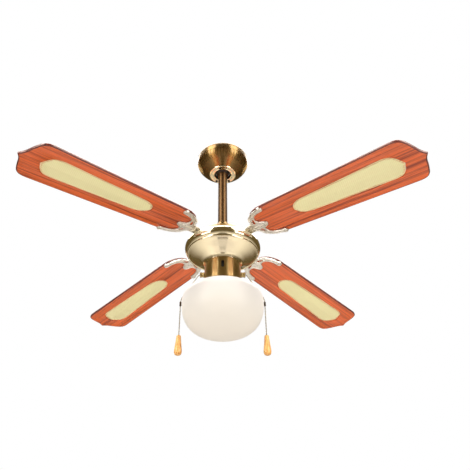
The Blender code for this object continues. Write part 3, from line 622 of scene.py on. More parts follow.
def dress(node, kind):
    """A CAD node keeps its shape and gets a better material."""
    data = frame["nodes"][node].data
    data.materials.clear()
    data.materials.append(finish(kind))


class FanOperator(bpy.types.Operator):
    """Base of the operators: each makes its pieces and reports that it has finished."""

    bl_options = {"REGISTER", "UNDO"}

    def execute(self, context):
        self.make(context.scene.fan_sizes)
        return {"FINISHED"}


# ---------------------------------------------------------------- ceiling mount


class FAN_OT_canopy(FanOperator):
    """Spins the canopy and presses the short flutes into its shoulder"""

    bl_idname = "fan.canopy"
    bl_label = "Canopy"

    def make(self, sizes):
        low, _, r = span("canopy")
        rim = [(r - 2.5, -1.0), (r - 0.6, -3.0), (r, -5.4), (r - 0.9, -6.2), (r - 0.9, -7.2), (r, -8.2)]
        skin = [(r, low + 41.7), (r - 0.8, low + 35.7), (r - 3.0, low + 29.7), (r - 7.5, low + 22.7)]
        skin += [(r - 14.5, low + 15.2), (r - 22.5, low + 8.7), (r - 30.0, low + 2.6), (36.6, low)]
        shell = rim + flowing(skin, 2) + [(24.0, low), (24.0, low + 1.0)]
        shell += [(radius - 1.0, height + 0.4) for radius, height in reversed(skin[:-1])]
        shell += [(r - 3.5, -1.0)]
        piece = turned("canopy_shell", shell, sizes.flutes * 3)
        step = 360.0 / (sizes.flutes * 3)

        def in_flute(centre, normal):
            column = int(math.degrees(math.atan2(centre.y, centre.x)) % 360.0 / step) % 3
            outside = normal.x * centre.x + normal.y * centre.y > 0.0
            return outside and column < 2 and low + 14.0 < centre.z / MM < low + 35.0

        select_faces(piece, in_flute)
        bpy.ops.mesh.inset(thickness=0.0006, use_boundary=True)
        bpy.ops.transform.shrink_fatten(value=-sizes.flute_depth)
        close_up(piece, 50.0)
        hand_over(piece, "bronze", "ceiling_mount", "bronze_plate", "canopy")


class FAN_OT_mount_hardware(FanOperator):
    """Makes the trim ring, its screws, the hanger ball and the bracket's finish"""

    bl_idname = "fan.mount_hardware"
    bl_label = "Mount hardware"

    def make(self, sizes):
        low, high, r = span("canopy_ring")
        section = [(22.5, high), (r, high), (r, high - 1.4), (r - 0.8, low + 0.6), (r - 2.4, low)]
        section += [(r - 4.4, low), (r - 5.2, low + 0.5), (26.0, low + 0.5)]
        section += [(25.2, low), (23.7, low), (22.5, low + 1.0)]
        ring = turned("canopy_trim_ring", softened(section, 0.4))
        hand_over(ring, "pale_brass", "ceiling_mount", "antique_brass", "canopy_ring")

        screw = pan_screw("screw_master", 3.3, 1.5, span("canopy_screw_1")[1] - low + 0.3)
        for index in (1, 2, 3):
            node = f"canopy_screw_{index}"
            corner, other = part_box(node)
            middle = (corner + other) / 2
            place = Matrix.Translation((middle.x, middle.y, (low - GAP) * MM))
            place @= Matrix.Rotation(index, 4, "Z")
            copy = duplicate(screw, f"canopy_pan_screw_{index}", place)
            hand_over(copy, "dark_steel", "ceiling_mount", "zinc_steel", node)
        bpy.data.objects.remove(screw)

        low, high, r = span("hanger_ball")
        centre = joint_height("hanger_tilt")
        bore = 12.3
        start = math.degrees(math.asin((high - centre) / r))
        stop = -math.degrees(math.acos(bore / r))
        section = [(bore, high)]
        for i in range(17):
            x, z = polar(r, start + (stop - start) * i / 16)
            section.append((x, centre + z))
        ball = turned("hanger_ball_moulding", section, 72)
        hand_over(ball, "black_plastic", "fan_body", "black_plastic", "hanger_ball")
        dress("hanger_bracket", "black_enamel")
        dress("terminal_block", "white_plastic")


def pan_screw(name, radius, height, shank):
    """A pan-head screw with a cross recess, its head's underside at z = 0 and its head below that."""
    section = [(radius * 0.46, shank), (radius * 0.48, shank - 0.4), (radius * 0.48, 0.0), (radius, 0.0)]
    section += [(radius, -height * 0.35), (radius * 0.9, -height * 0.75)]
    section += [(radius * 0.6, -height), (0.3, -height * 1.05)]
    screw = turned(name, section, 20, "fill")
    long, wide = radius * 0.62, radius * 0.16
    arms = []
    for x, y in ((long, wide), (wide, long)):
        arms.append(block("recess", (-x, -y, -height * 1.4), (x, y, -height * 0.4)))
    return cut(screw, arms)


class FAN_OT_downrod(FanOperator):
    """Makes the downrod, the motor yoke and the cover over the motor"""

    bl_idname = "fan.downrod"
    bl_label = "Downrod and motor cover"

    def make(self, sizes):
        low, high, r = span("downrod")
        section = [(9.5, high), (r - 0.6, high), (r, high - 0.6), (r, low + 0.6), (r - 0.6, low), (9.5, low)]
        rod = turned("downrod_tube", section, 64)
        hand_over(rod, "rod_bronze", "fan_body", "bronze_plate", "downrod")

        low, high, _ = span("motor_yoke")
        floor = low + 5.0
        section = [(12.3, high), (15.0, high), (16.5, high - 1.5), (16.5, floor), (24.0, floor)]
        section += [(24.0, floor - 3.5), (15.0, low), (8.3, low), (8.3, floor), (12.3, floor)]
        yoke = turned("yoke_collar", softened(section, 0.5), 64)
        hand_over(yoke, "bronze", "fan_body", "bronze_plate", "motor_yoke")
        pin_low, pin_high, _ = span("downrod_pin")
        middle = (pin_low + pin_high) / 2
        pin = rod_between("yoke_cross_pin", 2.5, (0, -19.0, middle), (0, 19.0, middle))
        edit(pin, "EDGE")
        bpy.ops.mesh.select_all(action="SELECT")
        bpy.ops.mesh.bevel(offset=0.0004, segments=2)
        close_up(pin)
        hand_over(pin, "zinc", "fan_body", "zinc_steel", "downrod_pin")

        low, top, r = span("motor_top_cover")
        skin = [(17.4, top), (24.0, top), (34.0, top - 2.6), (47.0, top - 8.4), (58.0, top - 15.6)]
        skin += [(67.0, top - 23.5), (73.5, low + 5.5), (r, low + 2.0), (r, low)]
        under = [(r - 1.2, low), (r - 1.4, low + 2.4), (72.2, low + 6.4), (66.0, top - 24.5)]
        under += [(57.2, top - 16.6), (46.4, top - 9.5), (33.6, top - 3.7)]
        under += [(24.0, top - 1.2), (17.4, top - 1.2)]
        cover = turned("motor_cover_dome", flowing(skin, 2) + under)
        hand_over(cover, "dark_brass", "fan_body", "bronze_plate", "motor_top_cover")


class FAN_OT_motor_bowl(FanOperator):
    """Spins the motor bowl: its rolled band, the step under it and the dish down to the neck"""

    bl_idname = "fan.motor_bowl"
    bl_label = "Motor bowl"

    def make(self, sizes):
        base, top, r = span("motor_bowl")
        neck = span("switch_housing")[2]
        band = [(r - 4.0, top), (r - 2.2, top - 1.2), (r - 0.6, top - 4.4), (r, top - 8.5)]
        band += [(r - 0.4, top - 13.0), (r - 2.0, top - 17.6), (r - 4.6, top - 21.2)]
        step = [(r - 6.0, top - 22.0), (r - 6.0, top - 24.2), (r - 6.6, top - 25.7), (r - 8.2, top - 26.2)]
        step += [(r - 9.4, top - 25.6)]
        dish = [(r - 12.0, top - 26.9), (r - 16.0, top - 29.4), (r - 24.0, top - 34.0)]
        dish += [(r - 32.0, top - 39.0), (r - 40.0, top - 44.9)]
        dish += [(neck + 4.0, base + 6.2), (neck + 1.2, base + 2.2), (neck, base)]
        under = [(8.3, base), (8.3, base + 1.5), (neck - 0.6, base + 1.5), (neck + 1.8, base + 4.6)]
        under += [(neck + 5.5, base + 8.6), (r - 30.0, top - 36.4), (r - 9.6, top - 24.0)]
        under += [(r - 7.6, top - 21.0), (r - 3.4, top - 17.0), (r - 1.4, top - 8.5), (r - 4.8, top - 1.2)]
        section = flowing(band, 3) + softened(step, 0.3, False) + flowing(dish, 3) + under
        bowl = turned("motor_bowl_spinning", section, 128)
        hand_over(bowl, "brass", "fan_body", "antique_brass", "motor_bowl")


# ---------------------------------------------------------------- switch housing and light


class FAN_OT_switch_housing(FanOperator):
    """Makes the switch cup with its slot, the slider in it and the two chain outlets"""

    bl_idname = "fan.switch_housing"
    bl_label = "Switch housing"

    def make(self, sizes):
        low, high, r = span("switch_housing")
        wall = 1.2
        section = [(r - wall, high), (r, high), (r, low + 3.6), (r - 0.4, low + 3.0), (r, low + 2.4)]
        section += [(r, low), (30.0, low), (30.0, low + wall), (r - wall, low + wall)]
        cup = turned("switch_cup", softened(section, 0.35), 96)
        slot_low, slot_high = span("reverse_switch")[:2]
        slot_r, straight = 3.4, 6.0
        bottom, top = (slot_low + slot_high) / 2 - straight, (slot_low + slot_high) / 2 + straight
        ends = [rod_between("end", slot_r, (0, -60, z), (0, -30, z)) for z in (bottom, top)]
        body = block("slot", (-slot_r, -60, bottom), (slot_r, -30, top))
        low, high, _ = span("chain_chute_left")
        outlet = (low + high) / 2
        holes = [rod_between("hole", 4.3, (x * 30, 0, outlet), (x * 60, 0, outlet)) for x in (-1, 1)]
        cut(cup, ends + [body] + holes)
        hand_over(cup, "tan_brass", "fan_body", "antique_brass", "switch_housing")

        corner, other = (Vector(c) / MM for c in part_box("reverse_slider"))
        slider = block("reverse_slider_knob", corner, other, 0.35)
        grooves = [
            block("groove", (-3.0, corner.y - 1.0, z - 0.35), (3.0, corner.y + 0.5, z + 0.35))
            for z in (corner.z + 2.4, corner.z + 4.0, corner.z + 5.6)
        ]
        cut(slider, grooves)
        hand_over(slider, "black_plastic", "reverse_slider", "black_plastic", "reverse_slider")
        for node in ("reverse_switch", "speed_switch", "light_switch", "capacitor"):
            dress(node, "black_plastic")

        start, mouth = span_x("chain_chute_right")
        wall = r + GAP
        section = [(2.1, mouth - 1.4), (2.6, mouth), (4.2, mouth), (6.6, mouth - 1.0), (6.6, mouth - 3.0)]
        section += [(5.9, mouth - 4.2), (5.7, wall + 3.4), (6.4, wall + 2.0), (6.4, wall), (3.9, wall)]
        section += [(3.9, start), (2.1, start)]
        chute = turned("chute_master", softened(section, 0.6), 40)
        for side, x in (("left", -1.0), ("right", 1.0)):
            place = Matrix.Translation((0.0, 0.0, outlet * MM)) @ Matrix.Rotation(x * math.pi / 2, 4, "Y")
            copy = duplicate(chute, f"chain_outlet_{side}", place)
            hand_over(copy, "tan_brass", "fan_body", "antique_brass", f"chain_chute_{side}")
        bpy.data.objects.remove(chute)


def span_x(node):
    """Lowest and highest x of a CAD node, in millimetres."""
    low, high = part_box(node)
    return low.x / MM, high.x / MM


class FAN_OT_light_kit(FanOperator):
    """Makes the fitter, its thumb screws, the opal globe and the lamp inside it"""

    bl_idname = "fan.light_kit"
    bl_label = "Light kit"

    def make(self, sizes):
        low, high, r = span("fitter")
        wall = 1.2
        section = [(12.0, high), (r - 0.8, high), (r, high - 0.8), (r, low + 1.2), (r, low)]
        section += [(r - wall, low), (r - wall, high - wall), (12.0, high - wall)]
        skirt = turned("globe_fitter", softened(section, 0.4), 96)
        level = sum(span("thumb_screw_1")[:2]) / 2
        angles = {"thumb_screw_1": 90.0, "thumb_screw_2": 205.0, "thumb_screw_3": 335.0}
        holes = []
        for angle in angles.values():
            start, end = (*polar(r - 10.0, angle), level), (*polar(r + 10.0, angle), level)
            holes.append(rod_between("hole", 1.9, start, end, 16))
        cut(skirt, holes)
        hand_over(skirt, "tan_brass", "fan_body", "antique_brass", "fitter")

        head, tip = r + GAP, 37.7 + GAP
        section = [(0.6, head + 6.5), (2.6, head + 6.5), (3.2, head + 6.0), (3.2, head + 1.2)]
        section += [(2.4, head + 0.1), (1.6, head), (1.6, tip + 0.4), (1.0, tip)]
        thumb = turned("thumb_master", section, 36, "fill")

        def in_knurl(centre, normal):
            side = math.hypot(normal.x, normal.y) > 0.9 and centre.z > (head + 1.2) * MM
            return side and int(math.degrees(math.atan2(centre.y, centre.x)) % 360.0 / 10.0) % 2 == 0

        select_faces(thumb, in_knurl)
        bpy.ops.mesh.inset(thickness=0.00005)
        bpy.ops.transform.shrink_fatten(value=0.0002)
        close_up(thumb, 30.0)
        for node, angle in angles.items():
            turn = Matrix.Rotation(math.radians(angle), 4, "Z") @ Matrix.Rotation(math.radians(90.0), 4, "Y")
            copy = duplicate(thumb, node + "_knurled", Matrix.Translation((0, 0, level * MM)) @ turn)
            hand_over(copy, "tan_brass", node, "antique_brass", node)
        bpy.data.objects.remove(thumb)

        globe_low, neck_top, r = span("globe")
        neck, middle = 36.5, joint_height("pull_swing_left") + 8.0
        top = low - 0.5
        up, down = top - middle, middle - globe_low

        def bulge(radius, wide, rise, power):
            return rise * (1.0 - (radius / wide) ** power) ** (1.0 / power)

        section = [(neck, neck_top), (neck + 1.2, neck_top - 0.6), (neck + 1.2, neck_top - 2.4)]
        section += [(neck + 0.2, neck_top - 3.4), (neck + 0.2, top + 0.8)]
        rising = [math.sin(math.radians(a)) for a in range(26, 90, 5)]
        falling = [math.cos(math.radians(a)) for a in range(4, 88, 5)] + [0.012]
        section += [(r * s, middle + bulge(r * s, r, up, 2.4)) for s in rising] + [(r, middle)]
        section += [(r * s, middle - bulge(r * s, r, down, 2.65)) for s in falling]
        r, up, down = r - 3.0, up - 3.0, down - 3.0
        section += [(r * s, middle - bulge(r * s, r, down, 2.65)) for s in reversed(falling)]
        section += [(r, middle)] + [(r * s, middle + bulge(r * s, r, up, 2.4)) for s in reversed(rising)]
        section += [(neck - 2.6, top - 1.6), (neck - 2.6, neck_top)]
        globe = turned("opal_globe", section, 96, "globe")
        hand_over(globe, "opal", "fan_body", "opal_glass", "globe")

        bulb_low, top, _ = span("bulb")
        skin = [(6.0, top), (7.5, top - 2), (12.6, top - 4), (13.0, top - 10), (13.0, top - 27)]
        skin += [(14.5, top - 33), (19.5, top - 42), (24.5, top - 52), (26.0, top - 60), (24.5, top - 69)]
        skin += [(19.5, top - 77), (11.5, top - 82.2), (1.0, bulb_low)]
        bulb = turned("lamp_bulb", flowing(skin, 3), 48, "fill")
        hand_over(bulb, "lamp_glass", "fan_body", "lamp_glass", "bulb")
        dress("lampholder", "porcelain")


# ---------------------------------------------------------------- pull chains

BEAD_D = 3.0

class FAN_OT_pull_chains(FanOperator):
    """Strings the bead chains from their outlets over the globe's shoulder, with couplings and pulls"""

    bl_idname = "fan.pull_chains"
    bl_label = "Pull chains"

    def make(self, sizes):
        mouth = span_x("chain_chute_right")[1]
        low, high, _ = span("chain_chute_right")
        outlet = (low + high) / 2
        globe_r = span("globe")[2]
        for side, x in (("left", -1.0), ("right", 1.0)):
            bottom, top, _ = span(f"chain_coupling_{side}")
            out = abs(sum(span_x(f"chain_coupling_{side}"))) / 2
            middle = bottom + 8.0
            section = [(0.9, top), (1.6, top - 0.1), (2.4, top - 1.0), (2.4, top - 4.6), (1.7, top - 5.5)]
            section += [(2.4, top - 6.4), (2.4, bottom + 1.0), (1.6, bottom + 0.1), (0.9, bottom)]
            coupling = turned(f"coupling_bell_{side}", section, 24, "fill")
            move_mesh(coupling, Matrix.Translation((x * out * MM, 0, 0)))
            hand_over(coupling, "coupling", f"coupling_{side}", "nickel_chain", f"chain_coupling_{side}")

            knots = [(mouth - 6.0, outlet), (mouth, outlet - 0.2), (mouth + 4.2, outlet - 3.6)]
            knots += [(mouth + 8.0, outlet - 9.6), (globe_r - 24.2, outlet - 21.6)]
            knots += [(globe_r - 14.2, middle + 35.5), (globe_r - 5.7, middle + 22.0)]
            knots += [(out - 2.6, middle + 13.0), (out, top + GAP)]
            path = [(x * a, 0.0, z) for a, z in flowing(knots, 6)]
            chain = bead_chain(f"upper_bead_chain_{side}", path, sizes.bead_pitch)
            chain.data.materials.append(finish("chain"))
            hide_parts(f"upper_chain_{side}")
            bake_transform(chain)

            pull_low, h, r = span(f"chain_pull_{side}")
            section = [(1.2, h), (3.0, h - 0.1), (4.4, h - 0.8), (4.9, h - 2.4), (5.6, h - 10.0)]
            section += [(6.9, h - 22.0), (8.0, h - 31.0), (r, h - 36.0), (8.0, h - 40.5), (6.2, h - 43.8)]
            section += [(3.4, pull_low + 0.4), (1.0, pull_low)]
            pull = turned(f"wooden_pull_{side}", flowing(section, 3), 40, "fill")
            move_mesh(pull, Matrix.Translation((x * out * MM, 0, 0)))
            hand_over(pull, "pull_wood", f"pull_{side}", "pull_wood", f"chain_pull_{side}")

            path = [(x * out, 0.0, bottom - GAP + (h - bottom + 2 * GAP) * i / 20) for i in range(21)]
            chain = bead_chain(f"lower_bead_chain_{side}", path, sizes.bead_pitch)
            hand_over(chain, "chain", f"pull_{side}", "nickel_chain", f"lower_chain_{side}")


def bead_chain(name, path, pitch):
    """Beads on a thin wire, each bead copied from one of a few dozen faces."""
    points = [Vector(p) * MM for p in path]
    gaps = [(b - a).length for a, b in zip(points, points[1:])]
    count = max(2, round(sum(gaps) / pitch))
    deselect()
    bpy.ops.mesh.primitive_uv_sphere_add(segments=10, ring_count=6, radius=(BEAD_D / 2 - 0.02) * MM)
    bead = named(bpy.context.object, "bead")
    bpy.ops.object.shade_smooth()
    pieces = [tube("wire", path, 0.55, resolution=1)]
    total, walked, index = sum(gaps), 0.0, 0
    for i in range(count):
        target = (i + 0.5) / count * total
        while index < len(gaps) - 1 and walked + gaps[index] < target:
            walked += gaps[index]
            index += 1
        place = points[index].lerp(points[index + 1], (target - walked) / gaps[index])
        turn = (points[index + 1] - points[index]).to_track_quat("Z", "Y").to_matrix().to_4x4()
        pieces.append(duplicate(bead, "bead", Matrix.Translation(place) @ turn))
    bpy.data.objects.remove(bead)
    return join(pieces, name)


# ---------------------------------------------------------------- blades, cane and irons

SWEEP, ROOT = 525.0, 112.0
TIP_HALF, ROOT_HALF = 62.0, 54.0
BORDER = 30.0
CANE_START = 224.0
BLADE_T = 6.0
IRON_T = 4.0
IRON_HALF = 49.5
AZIMUTHS = (45.0, 135.0, 225.0, 315.0)
TILT = Matrix.Rotation(math.radians(6.9), 4, "Y") @ Matrix.Rotation(math.radians(-4.0), 4, "X")


def blade_outline():
    half = [(SWEEP, 0.0), (SWEEP - 1.6, 2.6), (SWEEP - 6.0, 9.0), (SWEEP - 9.6, 18.0), (SWEEP - 12.4, 29.0)]
    half += [(SWEEP - 15.4, TIP_HALF - 24.0), (SWEEP - 19.5, TIP_HALF - 12.5), (SWEEP - 25.5, TIP_HALF - 4.6)]
    half += [(SWEEP - 33.0, TIP_HALF - 1.0), (SWEEP - 43.0, TIP_HALF), (ROOT + 72.0, ROOT_HALF)]
    half += [(ROOT + 44.0, ROOT_HALF - 1.2), (ROOT + 31.0, ROOT_HALF - 4.2), (ROOT + 19.0, ROOT_HALF - 10.0)]
    half += [(ROOT + 9.5, ROOT_HALF - 19.0), (ROOT + 3.2, ROOT_HALF - 31.0), (ROOT + 0.6, ROOT_HALF - 43.0)]
    return softened(both_sides(half + [(ROOT, 0.0)]), 4.0)


def window_outline():
    tip, out, root = SWEEP - 43.0, TIP_HALF - BORDER + 1.0, ROOT_HALF - BORDER
    half = [(tip, 0.0), (tip - 3.0, 5.5), (tip - 6.0, 13.0), (tip - 10.0, out - 12.0)]
    half += [(tip - 16.5, out - 4.5), (tip - 25.0, out - 1.0), (tip - 35.0, out)]
    start = CANE_START
    half += [(start + 33.0, root + 1.0), (start + 21.0, root - 1.4), (start + 11.0, root - 6.4)]
    half += [(start + 4.0, root - 13.6), (start, 0.0)]
    return softened(both_sides(half), 4.0)


def seat(azimuth):
    """Where a blade's own plane lies on the fan."""
    height = joint_height("fan_spin") * MM
    return Matrix.Translation((0, 0, height)) @ Matrix.Rotation(math.radians(azimuth), 4, "Z") @ TILT


def spread(piece, azimuths, name, matrix_of):
    """Copies of one piece at each azimuth, with the pattern shifted so that no two are alike."""
    made = []
    for index, azimuth in enumerate(azimuths):
        copy = duplicate(piece, f"{name}_{index + 1}", matrix_of(azimuth))
        for corner in copy.data.uv_layers[0].data:
            corner.uv = (corner.uv[0] + 0.9 * index, corner.uv[1] + 0.37 * index)
        made.append(copy)
    bpy.data.objects.remove(piece)
    return made


class FAN_OT_blades(FanOperator):
    """Saws the four blades from veneered board, with the window for the cane and a stained edge"""

    bl_idname = "fan.blades"
    bl_label = "Blades"

    def make(self, sizes):
        edge = sizes.blade_edge / MM
        blade = plate("blade_master", [blade_outline(), window_outline()], BLADE_T, edge)
        # The dark band runs round the outside only: the window's edge stays the colour of the board.
        window = window_outline()
        inner = min(u for u, _ in window) - edge
        outer = max(u for u, _ in window) + edge
        side = max(v for _, v in window) + edge
        for index, copy in enumerate(spread(blade, AZIMUTHS, "veneered_blade", seat)):
            flat = seat(AZIMUTHS[index]).inverted()
            hand_over(copy, ("wood", "wood_edge"), "rotor", "stained_wood", f"blade_{index + 1}")
            for face in copy.data.polygons:
                u, v, _ = (flat @ face.center) / MM
                at_window = inner < u < outer and abs(v) < side
                rounded = abs((flat.to_3x3() @ face.normal).z) < 0.99
                face.material_index = int(rounded and not at_window)


class FAN_OT_cane_panels(FanOperator):
    """Stretches the woven cane in each window and beds a split reed round it"""

    bl_idname = "fan.cane_panels"
    bl_label = "Cane panels"

    def make(self, sizes):
        outline = inset(window_outline(), GAP)
        sheet = plate("cane_master", [outline], 2.6, 0.4)
        for index, copy in enumerate(spread(sheet, AZIMUTHS, "cane_sheet", seat)):
            hand_over(copy, "cane", "rotor", "cane", f"cane_panel_{index + 1}")
        line = [(*p, 0.0) for p in resampled(inset(window_outline(), 2.6), 8.0)]
        reed = tube("reed_master", line, 2.2, True)
        for index, copy in enumerate(spread(reed, AZIMUTHS, "reed_edging", seat)):
            hand_over(copy, "reed", "rotor", "cane")


def lobe(u, v, radius, start, end, count):
    """Points round a boss, from one angle to another."""
    turns = [start + (end - start) * i / count for i in range(count + 1)]
    return [(u + polar(radius, a)[0], v + polar(radius, a)[1]) for a in turns]


def iron_outline():
    pad = 65.2
    half = lobe(ROOT + 27.0, 0.0, 8.5, 0.0, 78.0, 4)
    half += [(ROOT + 18.5, 13.0), (ROOT + 16.5, 20.5), (ROOT + 19.0, 28.0), (ROOT + 25.5, 34.5)]
    half += [(ROOT + 34.0, IRON_HALF - 11.5), (ROOT + 43.0, IRON_HALF - 9.6)]
    half += lobe(ROOT + 50.0, IRON_HALF - 2.5, 7.5, -60.0, 150.0, 8)
    half += [(ROOT + 33.0, IRON_HALF - 0.5), (ROOT + 20.0, IRON_HALF - 5.0), (ROOT + 9.0, IRON_HALF - 13.0)]
    half += [(ROOT + 4.6, 28.0), (ROOT + 0.4, 19.5), (ROOT - 8.0, 13.4), (ROOT - 22.0, 12.5)]
    half += [(pad + 2.0, 12.5), (pad, 10.5)]
    return both_sides(half)


class FAN_OT_blade_irons(FanOperator):
    """Casts the four blade irons: a pierced three-armed plate with ribs, bosses and screws"""

    bl_idname = "fan.blade_irons"
    bl_label = "Blade irons"

    def make(self, sizes):
        rib = sizes.rib_radius / MM
        opening = [(ROOT + 14.5, 27.0), (ROOT + 7.5, 22.0), (ROOT + 3.0, 14.0), (ROOT + 4.5, 9.5)]
        opening += [(ROOT + 9.5, 11.5), (ROOT + 11.0, 18.0)]
        other = [(u, -v) for u, v in opening]
        outline = resampled(softened(iron_outline(), 2.0), 4.0)
        holes = [softened(opening, 1.6), softened(other, 1.6)]
        web = plate("iron_web", [outline] + holes, 2.0, 0.5)
        move_mesh(web, Matrix.Translation((0, 0, -1.2 * MM)))
        edit(web)
        for strip in range(9):
            u = 88.0 + strip * 3.0
            bpy.ops.mesh.select_all(action="SELECT")
            bpy.ops.mesh.bisect(plane_co=(u * MM, 0, 0), plane_no=(1, 0, 0))
        close_up(web, 40.0)
        depth = -(IRON_T - rib)
        pieces = [web]
        rim = [(*p, depth) for p in inset(outline, rib + 0.1)]
        pieces.append(tube("iron_rim", rim, rib, True))
        for side in (1.0, -1.0):
            around = [(u, v * side) for u, v in opening]
            ring = inset(softened(around, 1.6), -side)
            pieces.append(tube("iron_eye", [(*p, depth + 0.3) for p in ring], 1.0, True, 1))
            vein = [(ROOT - 18.0, 4.0 * side), (ROOT - 4.0, 9.0 * side), (ROOT + 4.0, 31.0 * side)]
            vein += [(ROOT + 18.0, 41.0 * side), (ROOT + 34.0, 46.5 * side), (ROOT + 46.0, 48.0 * side)]
            pieces.append(tube("iron_vein", [(*p, depth) for p in flowing(vein, 6)], rib * 0.8))
        spine = [(70.0 + i * 4.0, 0.0, depth) for i in range(17)]
        pieces.append(tube("iron_spine", spine, rib))
        screw = pan_screw("iron_screw", 3.4, 1.0, 0.6)
        section = [(0.8, -0.3), (6.4, -0.3), (6.8, -1.6), (6.0, -2.9), (4.9, -2.9), (4.6, -2.6), (0.8, -2.6)]
        for u, v in ((ROOT + 27.0, 0.0), (ROOT + 50.0, IRON_HALF - 2.5), (ROOT + 50.0, -IRON_HALF + 2.5)):
            place = Matrix.Translation(Vector((u, v, 0.0)) * MM)
            pieces.append(move_mesh(turned("iron_boss", section, 32, "fill"), place))
            place = Matrix.Translation(Vector((u, v, -2.7)) * MM) @ Matrix.Rotation(0.6 + u, 4, "Z")
            pieces.append(duplicate(screw, "iron_screw", place))
        bpy.data.objects.remove(screw)
        for piece in pieces:
            piece.data.materials.clear()
            piece.data.materials.append(finish("nickel"))
            if not piece.data.uv_layers:
                piece.data.uv_layers.new(name="plan")
        iron = join(pieces, "iron_master")
        level = (span("motor_bowl")[1] + 2.2 + IRON_T - joint_height("fan_spin")) * MM
        for vertex in iron.data.vertices:
            vertex.co = self.bent(vertex.co, level)
        height = Matrix.Translation((0, 0, joint_height("fan_spin") * MM))

        def turn(azimuth):
            return height @ Matrix.Rotation(math.radians(azimuth), 4, "Z")

        for index, copy in enumerate(spread(iron, AZIMUTHS, "cast_iron_arm", turn)):
            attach(copy, "rotor")
            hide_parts(f"blade_iron_{index + 1}")

    def bent(self, place, level):
        """Where a point of the flat iron lies: level over the bowl, then down under the blade."""
        start, end = 0.091, (ROOT - 0.5) * MM
        share = min(1.0, max(0.0, (place.x - start) / (end - start)))
        share = share * share * (3.0 - 2.0 * share)
        over = Vector((place.x, place.y, level + place.z))
        under = TILT @ Vector((place.x, place.y, place.z - (BLADE_T / 2 + GAP) * MM))
        return over.lerp(under, share)


class FAN_OT_motor_parts(FanOperator):
    """Gives the motor's hidden parts their finishes"""

    bl_idname = "fan.motor_parts"
    bl_label = "Motor parts"

    def make(self, sizes):
        for node in ("motor_shaft", "shaft_nut_upper", "shaft_nut_lower", "switch_plate"):
            dress(node, "zinc")
        for end in ("upper", "lower"):
            dress(f"{end}_bearing", "zinc")
            dress(f"rotor_{end}_shell", "zinc")
        for node in ("stator_core", "rotor_ring"):
            dress(node, "lamination")
        for node in ("winding_top", "winding_bottom"):
            dress(node, "copper")


# ---------------------------------------------------------------- stage


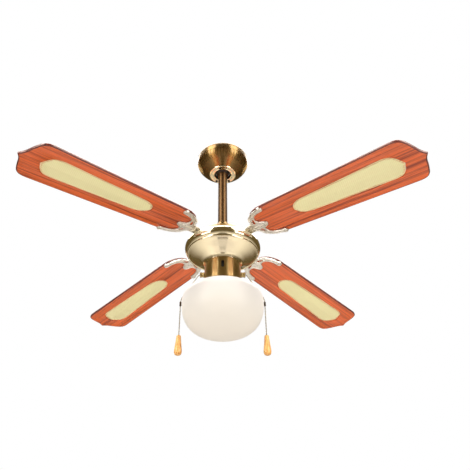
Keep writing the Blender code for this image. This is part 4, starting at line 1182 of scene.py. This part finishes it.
class FAN_OT_stage(FanOperator):
    """Sets up the camera, the pale floor, the soft boxes and the studio's surroundings"""

    bl_idname = "fan.stage"
    bl_label = "Stage"

    def make(self, sizes):
        self.camera()
        deselect()
        bpy.ops.mesh.primitive_plane_add(size=14.0, location=(0, 0, -sizes.floor_drop))
        floor = named(bpy.context.object, "studio_floor")
        floor.data.materials.append(moulded("pale studio floor", "#f1efec", 0.8, 0.01, 0.0001))
        boxes = (
            ("soft_box_left", (-1.6, -1.45, 0.45), (1.1, 2.8), 75.0, "#fffaf0"),
            ("soft_box_right", (1.6, -1.45, 0.45), (1.1, 2.8), 75.0, "#fffaf0"),
            ("overhead", (0.0, 0.4, 1.6), (3.0, 2.4), 150.0, "#fffdf8"),
        )
        for name, place, size, power, code in boxes:
            data = bpy.data.lights.new(name, "AREA")
            data.shape = "RECTANGLE"
            data.size, data.size_y = size
            data.energy = power
            data.color = linear(code)
            light = bpy.data.objects.new(name, data)
            light.location = place
            aim = Vector((0.0, 0.0, -0.35)) - Vector(place)
            light.rotation_euler = aim.to_track_quat("-Z", "Y").to_euler()
            light.visible_camera = False
            bpy.context.scene.collection.objects.link(light)
        # A black flag under the fan makes the dark streak down the middle of the metal.
        flag = block("black_flag", Vector((-0.21, -1.2, -1.5)) / MM, Vector((0.21, -0.05, -1.49)) / MM)
        flag.data.materials.append(moulded("black studio flag", "#3a3226", 0.8, 0.01, 0.0001))
        flag.visible_camera = False
        self.surroundings()
        bpy.context.scene.view_settings.view_transform = "Standard"

    def camera(self):
        """A normal lens below and in front of the fan, looking up at it."""
        data = bpy.data.cameras.new("camera")
        data.lens = 36.77
        data.sensor_width = 36.0
        data.shift_x = 0.0262
        eye = bpy.data.objects.new("camera", data)
        aim = Vector((0.0, 0.0, -0.2589))
        rise, away = math.radians(35.04), 1.2075
        eye.location = aim - Vector((0.0, math.cos(rise), math.sin(rise))) * away
        eye.rotation_euler = (aim - eye.location).to_track_quat("-Z", "Y").to_euler()
        bpy.context.scene.collection.objects.link(eye)
        bpy.context.scene.camera = eye

    def surroundings(self):
        """White to the eye, and dimmer towards the horizon in what the metal reflects."""
        world = bpy.data.worlds.new("studio")
        bpy.context.scene.world = world
        world.use_nodes = True
        tree = world.node_tree
        tree.nodes.clear()
        way = add_node(tree, "TexCoord").outputs["Generated"]
        height = add_node(tree, "SeparateXYZ", None, {0: way})
        level = add_node(tree, "MapRange", {"From Min": -1.0, "From Max": 1.0}, {0: height.outputs["Z"]})
        codes = ((0.0, "#f4efe4"), (0.34, "#f3ead2"), (0.38, "#625638"), (1.0, "#6e5a36"))
        stops = [(place, linear(code)) for place, code in codes]
        around = add_node(tree, "ValToRGB", {"stops": stops}, {0: level.outputs[0]})
        dim = add_node(tree, "Background", {"Strength": 1.0}, {"Color": around.outputs[0]})
        white = add_node(tree, "Background", {"Color": (1, 1, 1, 1), "Strength": 1.0})
        seen = add_node(tree, "LightPath").outputs["Is Camera Ray"]
        both = add_node(tree, "MixShader", None, {0: seen, 1: dim.outputs[0], 2: white.outputs[0]})
        add_node(tree, "OutputWorld", None, {"Surface": both.outputs[0]})


STEPS = (
    FAN_OT_stage,
    FAN_OT_canopy,
    FAN_OT_mount_hardware,
    FAN_OT_downrod,
    FAN_OT_motor_bowl,
    FAN_OT_switch_housing,
    FAN_OT_light_kit,
    FAN_OT_pull_chains,
    FAN_OT_blades,
    FAN_OT_cane_panels,
    FAN_OT_blade_irons,
    FAN_OT_motor_parts,
)


class FAN_PT_panel(bpy.types.Panel):
    """Sidebar panel that lists the sizes, the colours and the steps"""

    bl_label = "Ceiling fan"
    bl_idname = "FAN_PT_panel"
    bl_space_type = "VIEW_3D"
    bl_region_type = "UI"
    bl_category = "Fan"

    def draw(self, context):
        for group in (context.scene.fan_sizes, context.scene.fan_colours):
            box = self.layout.box()
            for key in group.bl_rna.properties.keys():
                if key not in ("rna_type", "name"):
                    box.prop(group, key)
        for step in STEPS:
            self.layout.operator(step.bl_idname)


CLASSES = (FanSizes, FanColours, *STEPS, FAN_PT_panel)


def register():
    for cls in CLASSES:
        bpy.utils.register_class(cls)
    bpy.types.Scene.fan_sizes = bpy.props.PointerProperty(type=FanSizes)
    bpy.types.Scene.fan_colours = bpy.props.PointerProperty(type=FanColours)


def unregister():
    del bpy.types.Scene.fan_colours
    del bpy.types.Scene.fan_sizes
    for cls in reversed(CLASSES):
        bpy.utils.unregister_class(cls)


def main():
    register()
    for step in STEPS:
        group, name = step.bl_idname.split(".")
        getattr(getattr(bpy.ops, group), name)()


if __name__ == "__main__":
    main()
